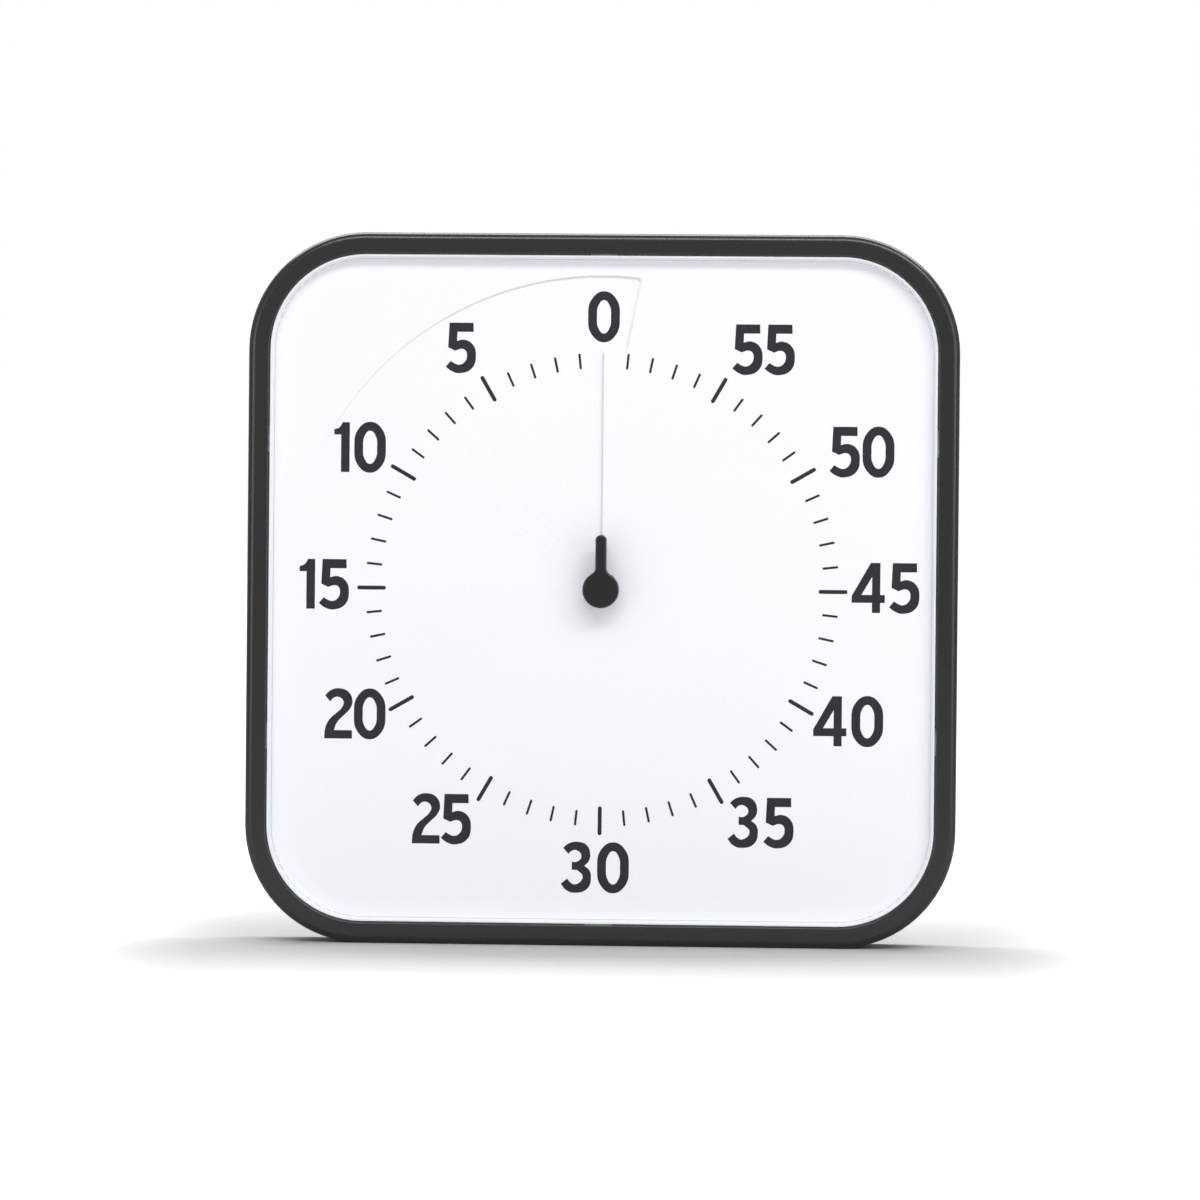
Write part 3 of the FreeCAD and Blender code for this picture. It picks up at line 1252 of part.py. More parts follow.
def screw_shape(length):
    """A pan head screw along +Y from under its head at y = 0."""
    shank = Part.makeCylinder(s.screw_radius.value, length.value, V(0, 0, 0), V(0, 1, 0))
    tall = s.screw_head_height.value
    head = Part.makeCylinder(s.screw_head_radius.value, tall, V(0, -tall, 0), V(0, 1, 0))
    head = head.makeFillet(tall * 0.35, [e for e in head.Edges if in_plane(e, "Y", -tall)])
    width = s.cross_width.value
    length = s.cross_length.value
    deep = s.cross_depth.value
    upright = Part.makeBox(width, deep, length, V(-width / 2, -tall, -length / 2))
    level = Part.makeBox(length, deep, width, V(-length / 2, -tall, -width / 2))
    return head.cut(upright.fuse(level)).fuse(shank)


def make_screws():
    case = []
    seat_y = parting_y + s.case_screw_grip
    for x, y in post_spots:
        screw = screw_shape(s.case_screw_grip * 2)
        screw.rotate(V(0, 0, 0), V(0, 0, 1), 180)
        screw.translate(V(x.value, seat_y.value, axis_z.value + y.value))
        case.append(screw)
    movement = []
    head_y = lid_y - s.ear_thickness
    for side in (-1, 1):
        for level in (-1, 1):
            screw = screw_shape(s.case_screw_grip)
            screw.translate(V(s.ear_reach.value * side, head_y.value,
                              axis_z.value + s.ear_height.value * level))
            movement.append(screw)
    return [solid_piece("case_screws", Part.makeCompound(case)),
            solid_piece("movement_screws", Part.makeCompound(movement))]


pieces = [make_front_frame(), make_dial(), make_rear_shell()]
pieces += [make_time_disk(), make_disk_hub(), make_knob(), make_arbor()]
pieces += make_shaft_hardware()
pieces += make_train()
pieces += make_movement()
pieces += make_switch()
pieces += [make_sounder()]
pieces += make_battery()
pieces += [make_battery_door()]
pieces += make_feet()
pieces += make_screws()
doc.recompute()

# Nothing is written unless every object of the document is sound
for thing in doc.Objects:
    if "Invalid" in thing.State or "Error" in thing.State:
        raise ValueError("%s is %s" % (thing.Label, thing.State))
for piece in pieces:
    if piece.Shape.isNull() or not piece.Shape.isValid() or not piece.Shape.Solids:
        raise ValueError("%s has no sound solid" % piece.Label)

os.makedirs("parts", exist_ok=True)
for piece in pieces:
    piece.Shape.exportStep(os.path.join("parts", piece.Label + ".step"))
    box = piece.Shape.BoundBox
    print("%-18s solids %d volume %9.1f  x %7.1f..%7.1f  y %6.1f..%6.1f  z %6.1f..%6.1f" % (
        piece.Label, len(piece.Shape.Solids), piece.Shape.Volume,
        box.XMin, box.XMax, box.YMin, box.YMax, box.ZMin, box.ZMax))
print("sheet pitch %.3f per turn, ramp depth %.3f" % (sheet_pitch.value, ramp_depth.value))
print("third axis %.3f %.3f, fourth axis %.3f %.3f, rotor axis %.3f %.3f" % (
    *third_axis, *fourth_axis, *rotor_axis))
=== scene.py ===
"""Visual countdown timer: prints, finishes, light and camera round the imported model.

The frame gives every moulded and turned piece. This script adds what is printed on the
dial, a finely wound red sheet, and a finish for each piece. Lengths are in metres in the
frame's own axes: X to the right, Z up, and the dial faces -Y.
"""

import logging
import math
from dataclasses import dataclass, field
from enum import Enum
from typing import Any

import bmesh
import bpy
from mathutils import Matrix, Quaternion, Vector
from mathutils.bvhtree import BVHTree


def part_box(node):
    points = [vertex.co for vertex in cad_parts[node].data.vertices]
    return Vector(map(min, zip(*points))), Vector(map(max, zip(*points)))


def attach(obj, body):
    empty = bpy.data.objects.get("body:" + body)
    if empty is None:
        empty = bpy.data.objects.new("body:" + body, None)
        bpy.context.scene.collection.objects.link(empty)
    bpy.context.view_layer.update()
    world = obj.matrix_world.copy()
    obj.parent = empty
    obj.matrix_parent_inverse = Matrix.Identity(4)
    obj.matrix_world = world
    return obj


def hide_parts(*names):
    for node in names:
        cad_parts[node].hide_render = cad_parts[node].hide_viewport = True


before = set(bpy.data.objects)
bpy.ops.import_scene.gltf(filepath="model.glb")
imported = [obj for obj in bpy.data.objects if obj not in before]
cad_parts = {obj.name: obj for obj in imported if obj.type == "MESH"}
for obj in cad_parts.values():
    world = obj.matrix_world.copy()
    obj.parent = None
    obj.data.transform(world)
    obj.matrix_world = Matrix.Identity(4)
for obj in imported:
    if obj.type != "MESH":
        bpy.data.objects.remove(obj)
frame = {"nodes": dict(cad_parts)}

LOG = logging.getLogger("timer")

MM = 0.001
ROOT = "root"

Point2 = tuple[float, float]
Colour = tuple[float, float, float, float]

# the corners of a square, counter-clockwise from the first quarter
QUARTERS = ((1, 1), (-1, 1), (-1, -1), (1, -1))


# Small tools


def linear(hex_colour: str) -> Colour:
    """Turns an sRGB hex value into a linear colour.

    Args:
        hex_colour: Six hex digits, with or without a leading #.

    Returns:
        Red, green, blue and an alpha of 1.
    """
    digits = hex_colour.lstrip("#")
    channels = []
    for start in (0, 2, 4):
        value = int(digits[start:start + 2], 16) / 255
        channels.append(value / 12.92 if value <= 0.04045 else ((value + 0.055) / 1.055) ** 2.4)
    return (channels[0], channels[1], channels[2], 1.0)


def add_node(
    material: Any,
    kind: str,
    settings: dict[str, Any] | None = None,
    links: dict[str, Any] | None = None,
) -> Any:
    """Adds one shader node.

    Args:
        material: The material or world that gets the node.
        kind: The node's type, such as ShaderNodeTexNoise.
        settings: Socket values by socket name or number; any other name is a property.
        links: Output sockets of other nodes, by the input that each goes into.

    Returns:
        The new node.
    """
    tree = material.node_tree
    node = tree.nodes.new(kind)
    for name, value in (settings or {}).items():
        if name.isdigit():
            node.inputs[int(name)].default_value = value
        elif name in node.inputs:
            node.inputs[name].default_value = value
        else:
            setattr(node, name, value)
    for name, source in (links or {}).items():
        target = node.inputs[int(name)] if name.isdigit() else node.inputs[name]
        tree.links.new(source, target)
    return node


def link_piece(name: str, mesh: Any, material: Any, body: str) -> Any:
    """Puts a finished mesh into the scene as a piece that rides on a body.

    Args:
        name: Name of the piece.
        mesh: Its mesh data, already in the frame's axes.
        material: Its material.
        body: The body that it moves with.

    Returns:
        The new object.
    """
    piece = bpy.data.objects.new(name, mesh)
    bpy.context.scene.collection.objects.link(piece)
    mesh.materials.clear()
    mesh.materials.append(material)
    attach(piece, body)
    LOG.info("piece %s on %s", name, body)
    return piece


def bridge(maker: Any, line: list[Any], other: list[Any]) -> None:
    """Fills the strip between two lines of points with four-sided faces.

    Args:
        maker: The bmesh that holds the points.
        line: The points of one line, in order.
        other: The points beside them on the other line.
    """
    for index in range(len(line) - 1):
        maker.faces.new((line[index], line[index + 1], other[index + 1], other[index]))


def to_mesh(maker: Any, name: str) -> Any:
    """Turns the faces of a closed form into mesh data that faces outward.

    Args:
        maker: The bmesh that holds the faces. It is freed.
        name: Name of the mesh.

    Returns:
        The mesh data.
    """
    bmesh.ops.recalc_face_normals(maker, faces=maker.faces[:])
    mesh = bpy.data.meshes.new(name)
    maker.to_mesh(mesh)
    maker.free()
    return mesh


# Finishes


WHITE = "#FFFFFF"
# nearly all values of a noise texture lie between these two
NOISE_LOW = 0.3
NOISE_HIGH = 0.7
# a broad faint cloud in the colour, and the fine grain of the surface
CLOUD_NOISE = {"Detail": 3.0, "Roughness": 0.55}
GRAIN_NOISE = {"Detail": 2.0, "Roughness": 0.6}
# a brushed streak is this many times as long as it is wide
STREAK_LENGTH = 25.0


class Speckle(Enum):
    """How a surface's fine texture is laid."""

    SPARK = "spark"
    BRUSHED = "brushed"


@dataclass(frozen=True)
class Finish:
    """A surface that is made of one material by one process.

    Sizes of the texture are real, in millimetres.
    """

    name: str
    colour: str
    shade: str
    roughness: float
    metallic: float = 0.0
    ior: float = 1.5
    grain_mm: float = 0.4
    grain_depth_mm: float = 0.01
    cloud_mm: float = 40.0
    roughness_swing: float = 0.06
    speckle: Speckle = Speckle.SPARK
    coat: float = 0.0
    sheen: float = 0.0
    specular: float = 0.5

    def build(self) -> Any:
        """Makes the material.

        Returns:
            A material whose colour, roughness and bump come from nodes.
        """
        material = bpy.data.materials.new(self.name)
        material.use_nodes = True
        material.node_tree.nodes.clear()
        place = add_node(material, "ShaderNodeTexCoord").outputs["Object"]
        grain_place = place
        if self.speckle is Speckle.BRUSHED:
            stretch = add_node(
                material, "ShaderNodeMapping",
                {"Scale": (1 / STREAK_LENGTH, 1.0, 1.0)}, {"Vector": place})
            grain_place = stretch.outputs["Vector"]
        cloud = add_node(
            material, "ShaderNodeTexNoise",
            {"Scale": 1 / (self.cloud_mm * MM), **CLOUD_NOISE}, {"Vector": place})
        grain = add_node(
            material, "ShaderNodeTexNoise",
            {"Scale": 1 / (self.grain_mm * MM), **GRAIN_NOISE}, {"Vector": grain_place})
        # a Mix node has several inputs of one name, so its colour sockets go by number
        tint = add_node(
            material, "ShaderNodeMix",
            {"data_type": "RGBA", "6": linear(self.colour), "7": linear(self.shade)},
            {"0": cloud.outputs["Fac"]})
        gloss = add_node(
            material, "ShaderNodeMapRange",
            {"From Min": NOISE_LOW, "From Max": NOISE_HIGH,
             "To Min": self.roughness - self.roughness_swing,
             "To Max": self.roughness + self.roughness_swing},
            {"Value": grain.outputs["Fac"]})
        bump = add_node(
            material, "ShaderNodeBump",
            {"Strength": 1.0, "Distance": self.grain_depth_mm * MM},
            {"Height": grain.outputs["Fac"]})
        shader = add_node(
            material, "ShaderNodeBsdfPrincipled",
            {"Metallic": self.metallic, "IOR": self.ior, "Coat Weight": self.coat,
             "Sheen Weight": self.sheen, "Specular IOR Level": self.specular},
            {"Base Color": tint.outputs[2], "Roughness": gloss.outputs["Result"],
             "Normal": bump.outputs["Normal"]})
        add_node(material, "ShaderNodeOutputMaterial", None, {"Surface": shader.outputs["BSDF"]})
        return material


# Charcoal ABS out of a spark-eroded mould: a fine even grain that spreads the highlight
CASE_ABS = Finish("abs_charcoal_spark_textured", "#141416", "#111113", 0.23,
                  grain_mm=0.5, grain_depth_mm=0.008, cloud_mm=60.0, specular=0.7)
# White ABS from a finely blasted mould: clean, cool and hardly glossy
DIAL_ABS = Finish("abs_white_satin_moulded", "#F5F7FB", "#F2F4F9", 0.38,
                  grain_mm=0.5, grain_depth_mm=0.004, cloud_mm=90.0)
# Screen-printed ink: dead flat beside the satin plastic, a little thin in places
PRINT_INK = Finish("ink_screen_printed", "#20252C", "#252A31", 0.62,
                   grain_mm=0.35, grain_depth_mm=0.004, cloud_mm=4.0, specular=0.3)
# Painted shadow: a matt grey line on the tray's sloping rim, standing in for the shade of a fine
# step there
RIM_SHADOW_PAINT = Finish("painted_rim_shadow", "#D5D9E0", "#CED2DA", 0.7,
                    grain_mm=0.4, grain_depth_mm=0.004, cloud_mm=20.0)
# Red polyester film: calendered, so it has a soft even gloss
RED_FILM = Finish("polyester_film_red", "#C9202C", "#C21B28", 0.33, ior=1.57,
                  grain_mm=0.8, grain_depth_mm=0.003, cloud_mm=50.0)
# Black ABS from a polished mould with light handling: it keeps small bright edges
KNOB_ABS = Finish("abs_black_semi_polished", "#121315", "#101113", 0.2,
                  grain_mm=0.5, grain_depth_mm=0.002, cloud_mm=12.0, specular=0.6)
# Zinc-plated steel, barrelled: bright and slightly cloudy
ZINC_STEEL = Finish("steel_zinc_plated", "#C3C6CA", "#B4B8BE", 0.3, metallic=1.0,
                    grain_mm=0.3, grain_depth_mm=0.006, cloud_mm=3.0)
# Bare spring steel strip, rolled: streaks along the strip
SPRING_STEEL = Finish("steel_rolled_strip", "#B7B6B2", "#A5A4A0", 0.28, metallic=1.0,
                      grain_mm=0.25, grain_depth_mm=0.006, cloud_mm=6.0, speckle=Speckle.BRUSHED)
# Turned and stamped brass, unlacquered: warm with faint turning marks
BRASS = Finish("brass_turned", "#C9A45A", "#B98F45", 0.3, metallic=1.0,
               grain_mm=0.2, grain_depth_mm=0.004, cloud_mm=5.0, speckle=Speckle.BRUSHED)
# Black polystyrene of the movement case: plain mould finish
MOVEMENT_PS = Finish("polystyrene_black_moulded", "#242527", "#1F2022", 0.5,
                     grain_mm=0.6, grain_depth_mm=0.01, cloud_mm=20.0)
# Enamelled copper wire: amber varnish over copper
COPPER_WIRE = Finish("copper_enamelled_winding", "#A65A2A", "#8C4A22", 0.35, metallic=0.8,
                     grain_mm=0.2, grain_depth_mm=0.03, cloud_mm=2.0, speckle=Speckle.BRUSHED)
# Glass-epoxy board under green solder mask
SOLDER_MASK = Finish("epoxy_board_green_mask", "#1F5A38", "#1A4E31", 0.3,
                     grain_mm=0.5, grain_depth_mm=0.006, cloud_mm=5.0)
# Printed steel jacket of a dry cell, left plain
CELL_JACKET = Finish("steel_cell_jacket_lacquered", "#4A4F57", "#42474E", 0.3, metallic=0.3,
                     grain_mm=0.8, grain_depth_mm=0.003, cloud_mm=10.0, coat=0.3)
# Nitrile rubber pad: no gloss, slightly dusty
PAD_RUBBER = Finish("rubber_nitrile_moulded", "#1D1D1E", "#262627", 0.85,
                    grain_mm=0.4, grain_depth_mm=0.03, cloud_mm=2.0, sheen=0.2)


# What the frame brings


@dataclass
class FrameDressing:
    """Gives every node of the frame its finish."""

    nodes: dict[str, Any]
    plan: dict[str, tuple[str, ...]] = field(default_factory=lambda: {
        "case": ("front_frame", "rear_shell", "battery_door", "foot_left", "foot_right"),
        "dial": ("dial_plate",),
        "film": ("time_disk", "disk_hub"),
        "knob": ("pointer_knob", "sound_switch"),
        "zinc": ("case_screws", "movement_screws", "foot_pin_left", "foot_pin_right", "arbor",
                 "quartz_can", "rotor"),
        "spring": ("clutch_spring", "clutch_ring", "contact_plus", "contact_minus", "stator"),
        "brass": ("arbor_bush", "centre_wheel", "third_wheel", "fourth_wheel"),
        "movement": ("movement_base", "movement_lid", "switch_block", "sounder", "driver_chip"),
        "wire": ("drive_coil",),
        "board": ("circuit_board",),
        "cell": ("battery_cell",),
        "rubber": ("foot_pad_left", "foot_pad_right"),
    })

    def dress(self, materials: dict[str, Any]) -> None:
        """Puts the finishes on the nodes.

        Args:
            materials: The built materials, by the plan's own words.
        """
        for word, names in self.plan.items():
            for name in names:
                mesh = self.nodes[name].data
                mesh.materials.clear()
                mesh.materials.append(materials[word])
                LOG.info("node %s in %s", name, materials[word].name)


# The dial's print


@dataclass(frozen=True)
class Anchor:
    """A point of an outline, in millimetres from the lower left of its digit."""

    x: float
    y: float
    smooth: bool = False


def corner(x: float, y: float) -> Anchor:
    """A sharp point of an outline."""
    return Anchor(x, y)


def bend(x: float, y: float) -> Anchor:
    """A point that the outline passes smoothly."""
    return Anchor(x, y, True)


Outline = tuple[Anchor, ...]


@dataclass(frozen=True)
class Glyph:
    """One digit: its closed outlines, its width and the room at each side of it.

    A round digit hangs a little below the line that the others stand on.
    """

    outlines: tuple[Outline, ...]
    width: float
    before: float
    after: float
    drop: float = 0.0


# how far out an oval's diagonal points lie, as shares of its half width and half height
DIAGONAL_X = 0.7725
DIAGONAL_Y = 0.6975


def oval(width: float, height: float, margin: float) -> Outline:
    """A tall round outline, a little squarer than an ellipse.

    Args:
        width: Outer width of the digit.
        height: Outer height of the digit.
        margin: How far this outline lies inside the outer one.

    Returns:
        Eight smooth points, counter-clockwise from the right.
    """
    half_x = width / 2 - margin
    half_y = height / 2 - margin
    shares = ((1.0, 0.0), (DIAGONAL_X, DIAGONAL_Y), (0.0, 1.0), (-DIAGONAL_X, DIAGONAL_Y),
              (-1.0, 0.0), (-DIAGONAL_X, -DIAGONAL_Y), (0.0, -1.0), (DIAGONAL_X, -DIAGONAL_Y))
    return tuple(bend(width / 2 + half_x * a, height / 2 + half_y * b) for a, b in shares)


@dataclass(frozen=True)
class Digits:
    """The dial's figures: narrow upright sans-serif digits with strokes of one width."""

    height: float = 21.4
    stroke: float = 3.8
    round_height: float = 21.9
    round_width: float = 13.6

    def glyphs(self) -> dict[str, Glyph]:
        """Draws the six digits that the dial needs.

        Returns:
            Glyphs by digit.
        """
        top = self.height
        rings = tuple(oval(self.round_width, self.round_height, margin)
                      for margin in (0.0, self.stroke))
        nought = Glyph(rings, self.round_width, 0.5, 0.5, (self.round_height - self.height) / 2)
        one = Glyph(
            ((corner(6.8, top), corner(6.8, 0.0), corner(3.1, 0.0), corner(3.1, 16.1),
              corner(0.1, 16.1), corner(0.1, 18.3), bend(2.2, 19.1), corner(3.7, top)),),
            6.8, 0.3, 1.5)
        two = Glyph(
            ((corner(0.0, 0.0), corner(12.0, 0.0), corner(12.0, 3.6), corner(4.2, 3.6),
              bend(5.5, 6.9), bend(8.2, 9.8), bend(10.9, 12.6),
              bend(12.1, 15.8), bend(10.5, 20.0), bend(6.3, 21.6), bend(2.6, 20.7),
              corner(0.3, 18.5), corner(2.5, 15.9), bend(4.2, 17.6), bend(6.1, 17.9),
              bend(8.3, 15.8), bend(7.3, 13.0), bend(5.2, 11.0), bend(2.2, 8.2), bend(0.5, 4.6)),),
            12.1, 0.3, 0.2)
        three = Glyph(
            ((corner(0.9, 19.1), corner(3.2, 16.5), bend(4.8, 17.9), bend(6.6, 18.1),
              bend(8.8, 15.6), bend(7.0, 13.2), corner(4.7, 13.1), corner(4.7, 9.7),
              corner(7.0, 9.6), bend(9.4, 6.7), bend(6.2, 3.4), bend(4.3, 4.1),
              corner(2.7, 5.9), corner(0.0, 3.6), bend(2.5, 0.8), bend(6.2, -0.2),
              bend(11.4, 1.6), bend(13.0, 6.3), bend(12.2, 9.6), corner(10.1, 11.4),
              bend(12.0, 13.5), bend(12.6, 16.5), bend(10.8, 20.5), bend(6.4, 21.7),
              bend(3.2, 20.9)),),
            13.0, 0.3, 2.1)
        four = Glyph(
            ((corner(8.1, top), corner(12.2, top), corner(12.2, 7.7), corner(14.2, 7.7),
              corner(14.2, 4.3), corner(12.2, 4.3), corner(12.2, 0.0), corner(8.7, 0.0),
              corner(8.7, 4.3), corner(0.0, 4.3), corner(0.0, 7.2)),
             (corner(8.7, 15.4), corner(4.2, 7.7), corner(8.7, 7.7))),
            14.2, 0.3, 1.6)
        five = Glyph(
            ((corner(1.5, top), corner(11.8, top), corner(11.9, 17.5), corner(4.95, 17.5),
              corner(4.8, 13.6), bend(7.8, 14.15), bend(11.65, 12.0), bend(12.95, 7.2),
              bend(11.3, 1.9), bend(6.0, -0.25), bend(2.6, 0.6), corner(0.0, 2.5),
              corner(2.1, 5.0), bend(3.9, 3.9), bend(5.9, 3.4), bend(8.2, 4.7), bend(9.1, 7.1),
              bend(8.5, 9.45), bend(6.9, 10.2), corner(4.0, 9.4), corner(1.0, 10.8)),),
            12.9, 0.2, 0.7)
        return {"0": nought, "1": one, "2": two, "3": three, "4": four, "5": five}


@dataclass(frozen=True)
class Numeral:
    """A figure of the dial and the place of its middle, in millimetres from the axis."""

    text: str
    x: float
    z: float


NUMERALS = (
    Numeral("0", -0.2, 117.1), Numeral("5", -61.6, 103.4), Numeral("10", -104.7, 60.3),
    Numeral("15", -119.6, 1.4), Numeral("20", -105.8, -54.3), Numeral("25", -68.1, -99.0),
    Numeral("30", -1.9, -119.2), Numeral("35", 69.0, -99.1), Numeral("40", 106.1, -55.3),
    Numeral("45", 121.5, 1.9), Numeral("50", 110.9, 60.0), Numeral("55", 68.4, 103.5),
)


@dataclass(frozen=True)
class Tick:
    """A tick's reach from the dial's axis and its width, in millimetres."""

    inner: float
    outer: float
    width: float


@dataclass
class DialPrint:
    """Everything that is printed on the dial, laid on its real surface, ramp and all."""

    plate: Any
    axis: Vector
    ink: Any
    font: Digits = Digits()
    long_tick: Tick = Tick(92.9, 105.3, 1.7)
    short_tick: Tick = Tick(95.0, 101.8, 1.0)
    minutes: int = 60
    minutes_per_figure: int = 5
    film_thickness: float = 0.05 * MM
    lift: float = 0.03 * MM
    # how finely the outlines and the faces between them are cut
    curve_steps: int = 8
    end_steps: int = 6
    same_point: float = 0.001 * MM
    longest_edge: float = 3.0 * MM
    most_rounds: int = 4
    # a look at the face starts this far in front of the plate, and finds the level face
    # this far to the right of the axis
    standoff: float = 10.0 * MM
    level_place: float = 100.0 * MM
    # how far behind the level face the printed one may lie, on the ramp; the rest is a gap
    least_depth: float = -0.1 * MM
    most_depth: float = 1.6 * MM
    surface: BVHTree = field(init=False)
    start_y: float = field(init=False)
    level_y: float = field(init=False)

    def __post_init__(self) -> None:
        """Prepares the plate's surface for laying print on it."""
        mesh = self.plate.data
        corners = [vertex.co.copy() for vertex in mesh.vertices]
        faces = [tuple(polygon.vertices) for polygon in mesh.polygons]
        self.surface = BVHTree.FromPolygons(corners, faces)
        self.start_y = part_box(self.plate.name)[0].y - self.standoff
        level = self.look(self.axis.x + self.level_place, self.axis.z)
        self.level_y = self.start_y if level is None else level

    def look(self, x: float, z: float) -> float | None:
        """Looks straight back at the plate.

        Args:
            x: Place across the dial.
            z: Height.

        Returns:
            The Y of the first face that is met, or None over an opening.
        """
        start = Vector((x, self.start_y, z))
        found = self.surface.ray_cast(start, Vector((0.0, 1.0, 0.0)))[0]
        return None if found is None else found.y

    def face_y(self, x: float, z: float) -> float:
        """Finds how far back the printed face is at a place.

        Args:
            x: Place across the dial.
            z: Height.

        Returns:
            The face's Y, or the level face's where the place is over a gap.
        """
        y = self.look(x, z)
        if y is None or not self.least_depth < y - self.level_y < self.most_depth:
            return self.level_y
        return y

    def fill(self, name: str, group: list[list[Anchor]]) -> Any:
        """Fills one print's closed outlines with flat faces.

        Args:
            name: Name of the piece that it is for.
            group: Closed outlines in millimetres from the axis. An inner one is a hole.

        Returns:
            Mesh data with X and Y in metres from the axis.
        """
        curve = bpy.data.curves.new(name + "_outline", "CURVE")
        curve.dimensions = "2D"
        curve.fill_mode = "BOTH"
        curve.resolution_u = self.curve_steps
        for outline in group:
            spline = curve.splines.new("BEZIER")
            spline.bezier_points.add(len(outline) - 1)
            spline.use_cyclic_u = True
            for point, anchor in zip(spline.bezier_points, outline):
                point.co = (anchor.x * MM, anchor.y * MM, 0.0)
                kind = "AUTO" if anchor.smooth else "VECTOR"
                point.handle_left_type = kind
                point.handle_right_type = kind
        holder = bpy.data.objects.new(name + "_outline", curve)
        flat = bpy.data.meshes.new_from_object(holder)
        bpy.data.objects.remove(holder)
        bpy.data.curves.remove(curve)
        return flat

    def cut(self, film: Any) -> None:
        """Cuts flat print into triangles that are short enough to follow the ramp.

        Args:
            film: The bmesh that holds the print.
        """
        bmesh.ops.remove_doubles(film, verts=film.verts, dist=self.same_point)
        bmesh.ops.triangulate(film, faces=film.faces)
        for _ in range(self.most_rounds):
            wide = [edge for edge in film.edges if edge.calc_length() > self.longest_edge]
            if not wide:
                break
            bmesh.ops.subdivide_edges(film, edges=wide, cuts=1)
            bmesh.ops.triangulate(film, faces=film.faces)

    def drape(self, film: Any) -> None:
        """Stands flat print up and lays it on the dial's face, looking forward.

        Args:
            film: The bmesh that holds the print.
        """
        for vertex in film.verts:
            x = self.axis.x + vertex.co.x
            z = self.axis.z + vertex.co.y
            vertex.co = Vector((x, self.face_y(x, z) - self.lift, z))
        for face in film.faces:
            face.normal_update()
            if face.normal.y > 0:
                face.normal_flip()

    def thicken(self, film: Any) -> None:
        """Gives the print its back and its rim, so that it is a closed film of ink.

        Args:
            film: The bmesh that holds the print.
        """
        fronts = set(film.faces)
        pair = bmesh.ops.duplicate(film, geom=film.faces[:])["vert_map"]
        rims = [edge for edge in film.edges
                if edge.is_boundary and edge.link_faces[0] in fronts]
        for vertex in {pair[v] for face in fronts for v in face.verts}:
            vertex.co.y += self.film_thickness
        for edge in rims:
            one, other = edge.verts
            film.faces.new((one, other, pair[other], pair[one]))

    def lay(self, name: str, groups: list[list[list[Anchor]]]) -> Any:
        """Makes one piece of print from flat outlines.

        Args:
            name: Name of the piece.
            groups: For each print, its closed outlines in millimetres from the axis.

        Returns:
            The new object.
        """
        film = bmesh.new()
        for group in groups:
            flat = self.fill(name, group)
            film.from_mesh(flat)
            bpy.data.meshes.remove(flat)
        self.cut(film)
        self.drape(film)
        self.thicken(film)
        return link_piece(name, to_mesh(film, name), self.ink, ROOT)

    def figure(self, numeral: Numeral, glyphs: dict[str, Glyph]) -> list[list[Anchor]]:
        """Sets one figure's digits side by side round its middle.

        Args:
            numeral: The figure and its place.
            glyphs: The drawn digits.

        Returns:
            Closed outlines in millimetres from the dial's axis.
        """
        digits = [glyphs[character] for character in numeral.text]
        gaps = sum(a.after + b.before for a, b in zip(digits, digits[1:]))
        total = sum(digit.width for digit in digits) + gaps
        left = numeral.x - total / 2
        base = numeral.z - self.font.height / 2
        placed = []
        for index, digit in enumerate(digits):
            if index:
                left += digits[index - 1].after + digit.before
            rise = base - digit.drop
            for outline in digit.outlines:
                placed.append([Anchor(left + a.x, rise + a.y, a.smooth) for a in outline])
            left += digit.width
        return placed

    def stroke(self, minute: int, tick: Tick) -> list[Anchor]:
        """A tick with round ends, pointing at the axis.

        Args:
            minute: Its minute, counted counter-clockwise from the top.
            tick: Its measures.

        Returns:
            One closed outline in millimetres from the dial's axis.
        """
        turn = math.radians(minute * 360 / self.minutes)
        half = tick.width / 2
        along = Vector((-math.sin(turn), math.cos(turn)))
        across = Vector((along.y, -along.x))
        points = []
        for centre, first in ((tick.outer - half, 0.0), (tick.inner + half, math.pi)):
            for step in range(self.end_steps + 1):
                angle = first + math.pi * step / self.end_steps
                out = centre + half * math.sin(angle)
                spot = along * out + across * (half * math.cos(angle))
                points.append(corner(spot.x, spot.y))
        return points

    def build(self) -> None:
        """Lays the figures and both kinds of tick."""
        glyphs = self.font.glyphs()
        self.lay("dial_numerals", [self.figure(numeral, glyphs) for numeral in NUMERALS])
        fives = range(self.minutes_per_figure, self.minutes, self.minutes_per_figure)
        others = [minute for minute in range(1, self.minutes) if minute not in fives]
        self.lay("five_minute_ticks", [[self.stroke(minute, self.long_tick)] for minute in fives])
        self.lay("minute_ticks", [[self.stroke(minute, self.short_tick)] for minute in others])


